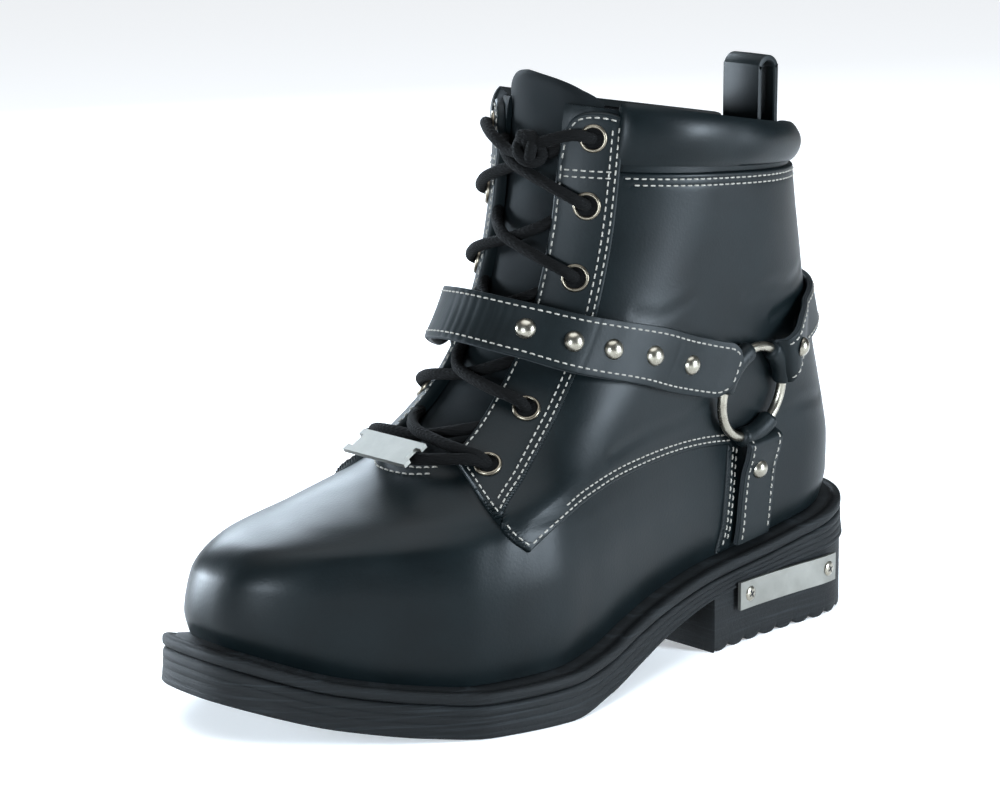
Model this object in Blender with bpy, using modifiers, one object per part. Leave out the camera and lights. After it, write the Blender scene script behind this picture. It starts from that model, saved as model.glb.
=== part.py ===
"""A left motorcycle boot: lasted upper, harness straps, side zip, laces and a heeled rubber sole.

Lengths in the tables are millimetres in the boot's own frame: from_heel runs forward from the back of
the heel, lateral and medial widths are measured from the middle line, and heights from the floor.
Places on the upper are given by two numbers: around (0 at the back, 1 at the front, positive on the
lateral side and negative on the medial side) and up (0 at the feather line, 1 at the collar).
"""
import math

import bmesh
import bpy
import numpy as np
from mathutils import Matrix, Vector

MM = 0.001

# Sole
SOLE_LENGTH = 306.0
SOLE_STATIONS = 32
TOE_SWING = 17.0
TOE_SWING_START = 190.0
HEEL_ROUND = (40.0, 2.2)
TOE_ROUND = (78.0, 2.44)
FOOT_COLUMNS = ("from_heel", "lateral", "medial", "top", "under")
FOOT = np.array([
    (0.0, 37.0, 37.0, 47.7, 30.0),
    (40.0, 37.0, 37.0, 40.5, 26.8),
    (70.0, 38.5, 35.0, 36.2, 24.3),
    (100.0, 42.3, 33.0, 33.7, 21.8),
    (130.0, 48.5, 34.5, 29.6, 16.1),
    (150.0, 53.6, 37.5, 25.6, 10.3),
    (175.0, 60.5, 43.0, 19.8, 3.6),
    (198.0, 65.0, 48.5, 17.6, 0.0),
    (230.0, 61.6, 53.5, 17.0, 0.0),
    (252.0, 53.6, 55.4, 18.9, 1.7),
    (275.0, 45.6, 56.4, 22.7, 5.4),
    (306.0, 42.0, 54.5, 33.3, 14.7),
])
WELT_HEIGHT = 4.6
WELT_SIDE = ((0.0, -0.7), (0.2, 0.0), (0.8, 0.0), (1.0, -1.1))
OUTSOLE_SIDE = ((0.0, -1.1), (0.1, 0.0), (0.5, 0.2), (0.9, 0.8), (1.0, -0.4))
BREAST = 100.0
HEEL_REAR_STATIONS = (0.0, 0.5, 2.0, 5.0)
HEEL_RIDGES = 9
RIDGE_START = 8.0
RIDGE_PITCH = 10.2
RIDGE_DEPTH = 2.0
RIDGE_SHAPE = ((0.0, 1.0), (0.14, 1.0), (0.26, 0.0), (0.86, 0.0))
INSOLE_HEIGHT = 3.0
INSOLE_GAP = 0.9

# Heel plate, following the lateral side of the heel block
PLATE_SPAN = (26.0, 86.4)
PLATE_HEIGHTS = (14.5, 25.6)
PLATE_SEAT = 1.25
PLATE_THICK = 1.4
PLATE_STEPS = 9
SCREW_RADIUS = 3.0
SCREW_HEIGHT = 1.0
SCREW_PLACES = {"heel_screw_front": 80.0, "heel_screw_rear": 31.0}

# Upper: one row of the last for each height
LAST_COLUMNS = ("up", "back_x", "back_z", "front_x", "front_z", "foot_share", "inset", "shaft_half",
                "back_round", "front_round", "front_power")
LAST = np.array([
    (0.00, 10, 46, 298, 31, 1.00, 9.5, 35, 34, 74, 2.35),
    (0.08, 7, 58, 301, 42, 1.00, 7.5, 36, 35, 76, 2.40),
    (0.17, 7, 71, 299, 56, 1.00, 7.0, 36, 36, 78, 2.40),
    (0.26, 9, 84, 289, 69, 0.92, 7.5, 36, 38, 80, 2.30),
    (0.35, 12, 96, 268, 75, 0.80, 8.0, 37, 40, 82, 2.20),
    (0.45, 16, 109, 239, 82, 0.62, 8.0, 38, 43, 78, 2.10),
    (0.55, 20, 122, 213, 95, 0.42, 8.0, 39, 46, 72, 2.10),
    (0.65, 25, 137, 191, 114, 0.24, 8.0, 40, 49, 66, 2.00),
    (0.75, 29, 153, 175, 138, 0.10, 8.0, 41, 51, 60, 2.00),
    (0.87, 34, 174, 164, 172, 0.00, 8.0, 43, 55, 58, 2.00),
    (1.00, 38, 196, 158, 216, 0.00, 8.0, 46, 58, 58, 2.00),
    (1.15, 41, 214, 153, 240, 0.00, 8.0, 49, 60, 58, 2.00),
])
BACK_POWER = 2.15
FEATHER_GAP = 0.45
FEATHER_FADE = (0.55, 1.5)
SWING_FADE = 0.8
WALL = 2.2
SEAT = 0.45
OVERLAY_SEAT = 0.6
BACKSTAY_EDGE = 0.080
QUARTER_TURN = 0.345
QUARTER_END = 0.270
QUARTER_DIP = 0.595
QUARTER_CORNER = 0.640
EYESTAY_LINE = 0.745
THROAT_EDGE = 0.895
THROAT_LOW = 0.53
UPPER_COLUMNS = ((BACKSTAY_EDGE, 2), (QUARTER_TURN, 6), (QUARTER_DIP, 5), (QUARTER_CORNER, 2),
                 (EYESTAY_LINE, 2), (THROAT_EDGE, 4), (1.0, 2))
UPPER_ROWS = ((QUARTER_END, 5), (THROAT_LOW, 5), (1.0, 6))

# Overlays sewn on the upper
EYESTAY_BACK = ((0.34, 0.710), (0.44, 0.730), (0.53, EYESTAY_LINE), (1.0, 0.750))
EYESTAY_LOW = ((0.70, 0.335), (0.795, 0.45), (THROAT_EDGE, 0.525))
EYESTAY_THICK = 2.2
OVERLAY_THICK = 1.3
QUARTER_LOW = ((QUARTER_TURN, QUARTER_END), (0.458, 0.320), (0.540, 0.338), (QUARTER_DIP, 0.333),
               (QUARTER_CORNER, 0.242), (0.665, 0.278), (0.705, 0.340))
COLLAR_SEAM = 0.930
OVERLAY_GAP = 0.008
OVERLAY_LOW = 0.012
OVERLAY_TOP = 0.995
MERGE = 0.05
PAD_BULGE = 4.2
PAD_CROWN = 0.6
PAD_END = (3.0, 0.35)

# Zip on the medial side
ZIP_FROM_HEEL = (92.5, 12.5)
ZIP_SPAN = (0.215, 0.985)
ZIP_EDGE = 8.0
ZIP_GAP = 2.2
CHAIN_EDGE = 2.7
CHAIN_SPAN = (0.225, 0.915)
ZIP_ROWS = 12
TAPE_THICK = 0.8
CHAIN_THICK = 1.6
SLIDER_UP = 0.957
SLIDER_BODY = (9.0, 13.0, 4.4)
SLIDER_LUG = (1.5, 4.2, 5.2)
LUG_GAP = 0.4
PIN_RADIUS = 1.0
PIN_RISE = 2.9
TAB_EYE = (2.2, 1.45, 4.6)
TAB_NECK = 3.0
TAB_PLATE = (7.6, 25.0, 1.7)
TAB_WINDOW = (4.2, 13.0)

# Harness straps: around, height of the middle, and clear height over the upper
STRAP_FRONT = ((0.42, 111.9, 7.7), (0.46, 113.6, 5.2), (0.5215, 117.1, 3.2), (0.6154, 122.9, 3.0),
               (0.7038, 126.2, 4.1), (0.7827, 128.4, 7.4), (0.8722, 130.9, 10.9), (1.00, 132.4, 13.0),
               (1.13, 131.0, 11.0), (1.20, 129.0, 9.6), (1.25, 127.0, 9.2), (1.305, 125.0, 9.4))
STRAP_BACK = ((0.352, 106.4, 7.7), (0.3396, 108.2, 7.9), (0.3189, 110.4, 8.8), (0.2991, 114.1, 9.0),
              (0.2811, 119.0, 7.0), (0.24, 123.5, 3.6), (0.12, 127.0, 2.6), (0.0, 128.0, 2.6),
              (-0.22, 121.5, 2.6), (-0.392, 113.0, 2.6))
STRAP_MEDIAL = ((-0.493, 114.0, 4.0), (-0.53, 115.8, 6.6), (-0.57, 117.8, 9.4), (-0.605, 119.8, 9.8))
STRAP_WIDTH = {"strap_front": 20.5, "strap_back": 18.0, "strap_medial": 15.0}
STRAP_THICK = 2.6
STRAP_STEP = 0.038
STRAP_SEAT = 2.6
DOWN_STRAP = (58.0, 78.0, 0.02, 0.32)
DOWN_STRAP_LIFT = ((0.02, STRAP_SEAT), (0.215, STRAP_SEAT), (0.258, 8.0), (0.32, 7.8))
DOWN_STRAP_ROWS = 7
RING_WIRE = 1.9
RING_SIDES = (18, 6)
RING_PLACES = {"ring_lateral": (0.352, 100.4, 5.4, 18.2), "ring_medial": (-0.645, 122.0, 4.8, 14.5)}
STUD_RADIUS = 4.4
STUD_DOME = 2.6
DOME_SHAPE = ((0.0, 1.0), (0.55, 0.82), (0.92, 0.35), (1.0, 0.0), (0.0, 0.0))
DOME_SIDES = 10
STUD_PLACES = ((0.8722, 130.9), (0.7827, 128.4), (0.7038, 126.2), (0.6154, 122.9), (0.5215, 117.1))
# Rivets: around, height, clear height over the strap, and the strap
RIVET_PLACES = {"rivet_back": (0.290, 116.4, 0.1, "strap_back"), "rivet_down": (0.313, 64.5, 0.8, "strap_down"),
                "rivet_medial": (-0.530, 115.8, 0.8, "strap_medial")}

# Tongue, lacing and pull loop
TONGUE_EDGE = 0.80
TONGUE_SPAN = (0.50, 1.06)
TONGUE_STEPS = (6, 9)
TONGUE_THICK = 2.6
TONGUE_DEPTH = WALL + 0.6
EYELET_AROUND = 0.815
EYELET_UPS = (0.503, 0.605, 0.710, 0.800, 0.890, 0.960)
EYELET_RADII = (2.6, 4.6)
EYELET_HEIGHT = 1.0
EYELET_SIDES = 8
EYELET_GAP = 0.75
LACE_RADIUS = 2.2
LACE_SEAT = 7.1
LACE_EDGE = (0.915, 6.0)
LACE_MIDDLE = 3.2
LACE_BAR_MIDDLE = 5.6
LACE_SHARES = (0.3, 0.5, 0.7)
LACE_TURN = 0.020
LACE_TURN_RISE = 0.008
CHARM_SIZE = (34.0, 12.0, 1.6)
CHARM_NOTCH = (5.0, 6.0)
LOOP_WIDTH = 19.0
LOOP_RISE = 27.0
LOOP_THICK = 2.4
LOOP_UPS = (0.935, 1.0)
LOOP_BOW = 1.8

# Finishes: colour, roughness, metallic
BLACK_LEATHER = ((0.020, 0.022, 0.026), 0.42, 0.0)
BLACK_RUBBER = ((0.026, 0.028, 0.030), 0.62, 0.0)
BLACK_CLOTH = ((0.014, 0.014, 0.016), 0.85, 0.0)
NICKEL = ((0.72, 0.71, 0.68), 0.24, 1.0)
OLD_BRASS = ((0.30, 0.26, 0.20), 0.38, 1.0)


def smooth(xs, ys, x):
    """Value at x of the smooth curve through the points, flat where the points turn."""
    xs, ys, x = (np.asarray(v, float) for v in (xs, ys, x))
    step = np.diff(xs)
    slope = np.diff(ys) / step
    tangent = np.zeros_like(ys)
    same = slope[:-1] * slope[1:] > 0
    w1 = 2 * step[1:] + step[:-1]
    w2 = step[1:] + 2 * step[:-1]
    safe = np.where(same, slope[:-1], 1.0), np.where(same, slope[1:], 1.0)
    tangent[1:-1] = np.where(same, (w1 + w2) / (w1 / safe[0] + w2 / safe[1]), 0.0)
    tangent[0], tangent[-1] = slope[0], slope[-1]
    x = np.clip(x, xs[0], xs[-1])
    i = np.clip(np.searchsorted(xs, x) - 1, 0, len(xs) - 2)
    h = step[i]
    q = (x - xs[i]) / h
    return (ys[i] * (1 + 2 * q) * (1 - q) ** 2 + tangent[i] * h * q * (1 - q) ** 2
            + ys[i + 1] * q * q * (3 - 2 * q) + tangent[i + 1] * h * q * q * (q - 1))


def end_round(distance, radius, power):
    """Width factor, 0 at the end of a form and 1 from one radius inside it."""
    q = np.clip(1 - np.asarray(distance, float) / radius, 0, 1)
    return (1 - q ** power) ** (1 / power)


def foot(column, from_heel):
    """A column of the sole's table at a distance from the heel."""
    return smooth(FOOT[:, 0], FOOT[:, FOOT_COLUMNS.index(column)], from_heel)


def swing(from_heel):
    """Sideways shift of the toe's middle line."""
    t = np.clip((from_heel - TOE_SWING_START) / (SOLE_LENGTH - TOE_SWING_START), 0, 1)
    return -TOE_SWING * t * t


def sole_edge(from_heel, side):
    """Sideways place of the sole's edge on the lateral (1) or medial (-1) side."""
    half = foot("lateral" if side > 0 else "medial", from_heel)
    ends = end_round(from_heel, *HEEL_ROUND) * end_round(SOLE_LENGTH - from_heel, *TOE_ROUND)
    return swing(from_heel) + side * half * ends


def skin(around, up):
    """Points of the last's surface, the outside of the upper's wall."""
    around, up = np.broadcast_arrays(np.asarray(around, float), np.asarray(up, float))
    turn = (around + 1) % 2 - 1
    row = {name: smooth(LAST[:, 0], LAST[:, i], up) for i, name in enumerate(LAST_COLUMNS)}
    share = (1 - np.cos(np.pi * np.abs(turn))) / 2
    x = row["back_x"] + (row["front_x"] - row["back_x"]) * share
    width = np.where(turn >= 0, foot("lateral", x), foot("medial", x))
    half = row["foot_share"] * (width - row["inset"]) + (1 - row["foot_share"]) * row["shaft_half"]
    half = half * end_round(x - row["back_x"], row["back_round"], BACK_POWER)
    half = half * end_round(row["front_x"] - x, row["front_round"], row["front_power"])
    straight = row["back_z"] + (row["front_z"] - row["back_z"]) * share
    low = LAST[0]
    low_line = low[2] + (low[4] - low[2]) * np.clip((x - low[1]) / (low[3] - low[1]), 0, 1)
    fade = np.clip(1 - up / FEATHER_FADE[0], 0, 1) ** FEATHER_FADE[1]
    z = straight + fade * (foot("top", x) + FEATHER_GAP - low_line)
    y = swing(x) * np.clip(1 - up / SWING_FADE, 0, 1) + np.where(turn >= 0, half, -half)
    return np.stack([x, y, z], -1)


def lifted(around, up, lift):
    """Points at a height over the last's surface, and the outward directions there."""
    small = 2e-3
    along = skin(np.asarray(around) + small, up) - skin(np.asarray(around) - small, up)
    rise = skin(around, np.asarray(up) + small) - skin(around, np.maximum(np.asarray(up) - small, 0))
    normal = np.cross(rise, along)
    normal = normal / np.linalg.norm(normal, axis=-1, keepdims=True)
    return skin(around, up) + normal * np.asarray(lift, float)[..., None], normal


def up_at_height(around, height):
    """The up value at which the last reaches a height, by halving."""
    around = np.asarray(around, float)
    low, high = np.zeros_like(around), np.full_like(around, LAST[-1, 0])
    for _ in range(40):
        middle = (low + high) / 2
        below = skin(around, middle)[..., 2] < height
        low, high = np.where(below, middle, low), np.where(below, high, middle)
    return (low + high) / 2


def origin():
    """The boot frame's place of the part's origin: the middle of the sole's box, on the floor."""
    x = np.linspace(0, SOLE_LENGTH, 400)
    return np.array([SOLE_LENGTH / 2, (sole_edge(x, 1).max() + sole_edge(x, -1).min()) / 2, 0.0])


ORIGIN = origin()


def world(point):
    """A boot-frame point in millimetres as a world point in metres."""
    return Vector((np.asarray(point, float) - ORIGIN) * MM)


def finish(name, look):
    """A Principled material from a colour, roughness and metallic value."""
    material = bpy.data.materials.new(name)
    material.use_nodes = True
    shader = material.node_tree.nodes["Principled BSDF"]
    shader.inputs["Base Color"].default_value = (*look[0], 1.0)
    shader.inputs["Roughness"].default_value = look[1]
    shader.inputs["Metallic"].default_value = look[2]
    return material


def place(name, mesh, look, smooth_angle=40.0):
    """Add a mesh to the boot's collection as a named piece with its own material."""
    mesh.materials.clear()
    mesh.materials.append(finish(name, look))
    mesh.shade_smooth()
    mesh.set_sharp_from_angle(angle=math.radians(smooth_angle))
    piece = bpy.data.objects.new(name, mesh)
    PARTS.objects.link(piece)
    return piece


def mesh_from(bm, name):
    """Finish a bmesh with its faces pointing out."""
    bmesh.ops.remove_doubles(bm, verts=bm.verts, dist=2e-6)
    bmesh.ops.recalc_face_normals(bm, faces=bm.faces)
    mesh = bpy.data.meshes.new(name)
    bm.to_mesh(mesh)
    bm.free()
    return mesh


def thicken(piece, thick):
    """Make an open sheet solid, inwards from its outside."""
    solid = piece.modifiers.new("thickness", "SOLIDIFY")
    solid.thickness = thick * MM
    solid.offset = -1.0
    solid.use_even_offset = True


def add_sheet(bm, points, outward):
    """Add an open quad sheet over a grid of boot-frame points, its faces towards outward."""
    points = np.asarray(points)
    rows = [[bm.verts.new(world(p)) for p in row] for row in points]
    across = np.cross(points[:-1, 1:] - points[:-1, :-1], points[1:, :-1] - points[:-1, :-1])
    turn = 1 if np.sum(across * outward) > 0 else -1
    for low, high in zip(rows, rows[1:]):
        for i in range(len(low) - 1):
            bm.faces.new((low[i], low[i + 1], high[i + 1], high[i])[::turn])


def shell(name, grids, lift, thick, look):
    """A sewn piece: sheets over the last at a height, joined where they meet and made thick inwards."""
    bm = bmesh.new()
    for around, up in grids:
        points, normals = lifted(around, up, np.broadcast_to(lift + thick, np.shape(around)))
        add_sheet(bm, points, normals[:-1, :-1])
    bmesh.ops.remove_doubles(bm, verts=bm.verts, dist=MERGE * MM)
    mesh = bpy.data.meshes.new(name)
    bm.to_mesh(mesh)
    bm.free()
    thicken(place(name, mesh, look), thick)


def pad(name, around, up, seat, bulge, look):
    """A stuffed piece: flat against the upper inside, crowned outside."""
    inner, normals = lifted(around, up, np.full(np.shape(around), seat))
    rows, columns = np.shape(around)
    crown = np.sin(np.linspace(0, np.pi, rows))[:, None] ** PAD_CROWN
    ends = np.clip(np.sin(np.linspace(0, np.pi, columns))[None, :] * PAD_END[0], PAD_END[1], 1)
    outer, _ = lifted(around, up, seat + OVERLAY_THICK + (bulge - OVERLAY_THICK) * crown * ends)
    bm = bmesh.new()
    add_sheet(bm, outer, normals[:-1, :-1])
    add_sheet(bm, inner, -normals[:-1, :-1])
    edges = [edge for edge in bm.edges if edge.is_boundary]
    bmesh.ops.bridge_loops(bm, edges=edges)
    return place(name, mesh_from(bm, name), look)


def moved_out(loop, grow):
    """A flat closed loop moved out along its own normals."""
    tangent = np.roll(loop, -1, 0) - np.roll(loop, 1, 0)
    normal = np.column_stack([-tangent[:, 1], tangent[:, 0]])
    return loop + grow * normal / np.linalg.norm(normal, axis=1, keepdims=True)


def sole_ring(grow, height):
    """A closed ring of points round the sole's edge, moved out by grow, at a height that follows x."""
    x = SOLE_LENGTH * (1 - np.cos(np.linspace(0, math.pi, SOLE_STATIONS + 1))) / 2
    lateral = np.column_stack([x, sole_edge(x, 1)])
    medial = np.column_stack([x, sole_edge(x, -1)])[::-1]
    loop = moved_out(np.vstack([lateral, medial[1:-1]]), grow)
    return np.column_stack([loop, height(loop[:, 0])])


def insole_ring(height):
    """A closed ring just inside the upper's lower edge."""
    loop = skin(np.linspace(0, 2, 2 * SOLE_STATIONS + 1)[:-1], 0.0)[:, :2]
    loop = moved_out(loop, -WALL - INSOLE_GAP)
    return np.column_stack([loop, height(loop[:, 0])])


def stack(name, rings, look):
    """A solid layer from rings of equal count, closed by rungs across its first and last ring."""
    bm = bmesh.new()
    loops = [[bm.verts.new(world(p)) for p in ring] for ring in rings]
    count = len(loops[0])
    for low, high in zip(loops, loops[1:]):
        for i in range(count):
            bm.faces.new((low[i], low[(i + 1) % count], high[(i + 1) % count], high[i]))
    for loop in (loops[0], loops[-1]):
        for i in range(count // 2):
            bm.faces.new([loop[j] for j in dict.fromkeys(k % count for k in (i, i + 1, -i - 1, -i))])
    return place(name, mesh_from(bm, name), look)


def sole_layers():
    """Outsole, welt and insole, each a stack of rings."""
    def between(share, top, bottom):
        return lambda x: top(x) + share * (bottom(x) - top(x))

    def welt_top(x):
        return foot("top", x)

    def welt_bottom(x):
        return foot("top", x) - WELT_HEIGHT

    def outsole_top(x):
        return welt_bottom(x) - SEAT

    def outsole_bottom(x):
        return foot("under", x)

    def insole_top(x):
        return welt_top(x) + SEAT + INSOLE_HEIGHT

    def insole_bottom(x):
        return welt_top(x) + SEAT

    stack("welt", [sole_ring(grow, between(share, welt_top, welt_bottom)) for share, grow in WELT_SIDE],
          BLACK_RUBBER)
    stack("outsole", [sole_ring(grow, between(share, outsole_top, outsole_bottom))
                      for share, grow in OUTSOLE_SIDE], BLACK_RUBBER)
    stack("insole", [insole_ring(height) for height in (insole_top, insole_bottom)], BLACK_CLOTH)


def heel():
    """The heel block: stations from the back to the breast, with ridges across its underside."""
    stations = [(x, 0.0) for x in HEEL_REAR_STATIONS]
    for i in range(HEEL_RIDGES):
        for share, depth in RIDGE_SHAPE:
            stations.append((RIDGE_START + (i + share) * RIDGE_PITCH, depth * RIDGE_DEPTH))
    stations = [s for s in stations if s[0] < BREAST] + [(BREAST, 0.0)]
    bm = bmesh.new()
    frames = []
    for x, depth in stations:
        top = float(foot("under", x)) - SEAT
        corners = [(x, float(sole_edge(x, side)), z) for side, z in ((1, top), (1, depth), (-1, depth),
                                                                     (-1, top))]
        frames.append([bm.verts.new(world(c)) for c in corners])
    for a, b in zip(frames, frames[1:]):
        for i in range(4):
            bm.faces.new((a[i], a[(i + 1) % 4], b[(i + 1) % 4], b[i]))
    bm.faces.new(frames[-1])
    bmesh.ops.dissolve_degenerate(bm, dist=2e-6, edges=bm.edges)
    place("heel", mesh_from(bm, "heel"), BLACK_RUBBER, 25.0)


def heel_side(x, out):
    """Boot-frame place and outward direction on the lateral side of the heel block."""
    small = 0.2
    tangent = np.array([2 * small, float(sole_edge(x + small, 1) - sole_edge(x - small, 1))])
    normal = np.array([-tangent[1], tangent[0]]) / np.linalg.norm(tangent)
    return np.array([x, float(sole_edge(x, 1))]) + normal * out, normal


def heel_plate():
    """The bent metal plate on the heel and its two screws."""
    xs = PLATE_SPAN[0] + (PLATE_SPAN[1] - PLATE_SPAN[0]) * np.linspace(0, 1, PLATE_STEPS) ** 1.4
    bm = bmesh.new()
    frames = []
    for x in xs:
        corners = [(*heel_side(x, out)[0], z) for out, z in
                   ((PLATE_SEAT, PLATE_HEIGHTS[0]), (PLATE_SEAT + PLATE_THICK, PLATE_HEIGHTS[0]),
                    (PLATE_SEAT + PLATE_THICK, PLATE_HEIGHTS[1]), (PLATE_SEAT, PLATE_HEIGHTS[1]))]
        frames.append([bm.verts.new(world(c)) for c in corners])
    for a, b in zip(frames, frames[1:]):
        for i in range(4):
            bm.faces.new((a[i], a[(i + 1) % 4], b[(i + 1) % 4], b[i]))
    bm.faces.new(frames[0])
    bm.faces.new(frames[-1])
    place("heel_plate", mesh_from(bm, "heel_plate"), NICKEL)
    for name, x in SCREW_PLACES.items():
        spot, normal = heel_side(x, PLATE_SEAT + PLATE_THICK + SEAT)
        middle = np.array([*spot, sum(PLATE_HEIGHTS) / 2])
        dome(name, middle, np.array([*normal, 0.0]), SCREW_RADIUS, SCREW_HEIGHT, NICKEL)


def facing(point, normal, rise=(0.0, 0.0, 1.0)):
    """A world matrix at a boot-frame point, with local Z outward and local Y upward."""
    out = Vector(normal).normalized()
    side = Vector(rise).cross(out).normalized()
    turn = Matrix((side, out.cross(side), out)).transposed().to_4x4()
    return Matrix.Translation(world(point)) @ turn


def turned(name, profile, segments, matrix, look):
    """A turned piece from a radius and height profile, spun round local Z and set in place."""
    bm = bmesh.new()
    verts = [bm.verts.new((r * MM, 0, z * MM)) for r, z in profile]
    edges = [bm.edges.new(pair) for pair in zip(verts, verts[1:])]
    if profile[0][0] > 0:
        edges.append(bm.edges.new((verts[-1], verts[0])))
    bmesh.ops.spin(bm, geom=verts + edges, cent=(0, 0, 0), axis=(0, 0, 1), angle=2 * math.pi,
                   steps=segments, use_merge=True)
    piece = place(name, mesh_from(bm, name), look)
    piece.matrix_world = matrix
    return piece


def dome(name, point, normal, radius, height, look):
    """A low domed head: stud, rivet or screw."""
    profile = [(r * radius, h * height) for r, h in DOME_SHAPE]
    return turned(name, profile, DOME_SIDES, facing(point, normal), look)


def divided(table):
    """Values from 0 through the table's stops, each stretch cut into its own count of steps."""
    values = [0.0]
    for stop, steps in table:
        values += list(np.linspace(values[-1], stop, steps + 1)[1:])
    return np.array(values)


def upper():
    """The lasted wall: a sheet all round, with the throat cut out of its front, made thick inwards."""
    half = divided(UPPER_COLUMNS)
    around = np.concatenate([half, 2 - half[-2:0:-1]])
    ups = divided(UPPER_ROWS)
    points = skin(*np.meshgrid(around, ups))
    bm = bmesh.new()
    rows = [[bm.verts.new(world(p)) for p in row] for row in points]
    count = len(around)
    for j in range(len(ups) - 1):
        for i in range(count):
            in_throat = THROAT_EDGE <= around[i] + 1e-9 < 2 - THROAT_EDGE and ups[j] + 1e-9 >= THROAT_LOW
            if not in_throat:
                k = (i + 1) % count
                bm.faces.new((rows[j][i], rows[j + 1][i], rows[j + 1][k], rows[j][k]))
    loose = [v for v in bm.verts if not v.link_faces]
    bmesh.ops.delete(bm, geom=loose, context="VERTS")
    mesh = bpy.data.meshes.new("upper")
    bm.to_mesh(mesh)
    bm.free()
    piece = place("upper", mesh, BLACK_LEATHER)
    thicken(piece, WALL)


def patch(back, front, low, high, columns, rows, sign=1):
    """Grids of around and up values between two edges, each given as a function of the other value."""
    share, rise = np.meshgrid(np.linspace(0, 1, columns + 1), np.linspace(0, 1, rows + 1))
    up = low(back(0.5) + share * (front(0.5) - back(0.5)))
    up = up + rise * (high - up)
    around = back(up) + share * (front(up) - back(up))
    return sign * around, up


def edge_curve(table):
    """A smooth function through the rows of an edge's table."""
    xs, ys = zip(*table)
    return lambda value: smooth(xs, ys, value)


def level(value):
    """An edge that stays at one value."""
    return lambda other: np.full(np.shape(other), float(value))


def zip_line(shift=0.0):
    """The zip's around value at a height, moved towards the front by shift millimetres, as if lateral."""
    return lambda up: around_at(ZIP_FROM_HEEL[0] + ZIP_FROM_HEEL[1] * np.asarray(up, float) + shift, up)


def overlays():
    """Eyestays, quarters, backstay and the three padded collar pieces."""
    eyestay_back = edge_curve(EYESTAY_BACK)
    eyestay_low = edge_curve(EYESTAY_LOW)

    def quarter_front(up):
        return eyestay_back(up) - OVERLAY_GAP

    quarter_low = edge_curve(QUARTER_LOW)
    zip_rear, zip_front = zip_line(-ZIP_EDGE - ZIP_GAP), zip_line(ZIP_EDGE + ZIP_GAP)
    back_edge, turn, ground = level(BACKSTAY_EDGE + OVERLAY_GAP), level(QUARTER_TURN), level(OVERLAY_LOW)
    for name, sign in (("eyestay_lateral", 1), ("eyestay_medial", -1)):
        grid = region(eyestay_back, level(THROAT_EDGE), eyestay_low, sign, OVERLAY_TOP)
        shell(name, [grid], OVERLAY_SEAT, EYESTAY_THICK, BLACK_LEATHER)
    quarters = {
        "quarter_lateral": [region(back_edge, turn, ground), region(turn, quarter_front, quarter_low)],
        "quarter_medial_front": [region(zip_front, quarter_front, quarter_low, -1)],
        "quarter_medial_rear": [region(back_edge, zip_rear, ground, -1)],
        "backstay": [region(level(0), level(BACKSTAY_EDGE), ground, sign, OVERLAY_TOP) for sign in (1, -1)],
    }
    for name, grids in quarters.items():
        shell(name, grids, OVERLAY_SEAT, OVERLAY_THICK, BLACK_LEATHER)
    pads = (("collar_pad_lateral", back_edge, quarter_front, 10, 1),
            ("collar_pad_medial", back_edge, zip_rear, 8, -1),
            ("collar_pad_front", zip_front, quarter_front, 4, -1))
    for name, rear, front, columns, sign in pads:
        pad(name, *patch(rear, front, level(COLLAR_SEAM), OVERLAY_TOP, columns, 4, sign), SEAT, PAD_BULGE,
            BLACK_LEATHER)


def region(back, front, low, sign=1, high=COLLAR_SEAM - OVERLAY_GAP):
    """Part of the upper's own grid, held between a back and a front edge and a lower edge."""
    around, up = np.meshgrid(divided(UPPER_COLUMNS), divided(UPPER_ROWS))
    up = np.clip(up, low(around), high)
    around = np.clip(around, back(up), front(up))
    up = np.clip(up, low(around), high)
    return sign * around, up


def strap_grid(table, width):
    """Grids of around, up and stand-off for a strap that follows a line of heights round the boot."""
    around, middle, stand_off = np.array(table, float).T
    order = np.argsort(around)
    count = max(2, int(round((around.max() - around.min()) / STRAP_STEP)))
    a = np.linspace(around.min(), around.max(), count + 1)
    heights = smooth(around[order], middle[order], a)
    lifts = smooth(around[order], stand_off[order], a)
    offsets = np.array([-0.5, 0.0, 0.5])[:, None] * width
    grid = np.broadcast_to(a, (3, len(a)))
    return grid, up_at_height(grid, heights + offsets), np.broadcast_to(lifts, grid.shape)


def strap(name, table):
    """A harness strap made thick towards the boot."""
    grid, up, lifts = strap_grid(table, STRAP_WIDTH[name])
    shell(name, [(grid, up)], lifts, STRAP_THICK, BLACK_LEATHER)


def stand_off(table):
    """A strap's clear height over the upper as a function of around."""
    return edge_curve([(around, lift) for around, _, lift in sorted(table)])


def on_strap(clear_height, around, height, lift):
    """Boot-frame place and direction at a height over the outside of a strap with that clear height."""
    def outside(a, z):
        return lifted(a, up_at_height(a, z), clear_height(a) + STRAP_THICK + lift)[0]

    along = outside(around + 0.01, height) - outside(around - 0.01, height)
    rise = outside(around, height + 2.0) - outside(around, height - 2.0)
    normal = np.cross(rise, along)
    return outside(around, height), normal / np.linalg.norm(normal)


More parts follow.
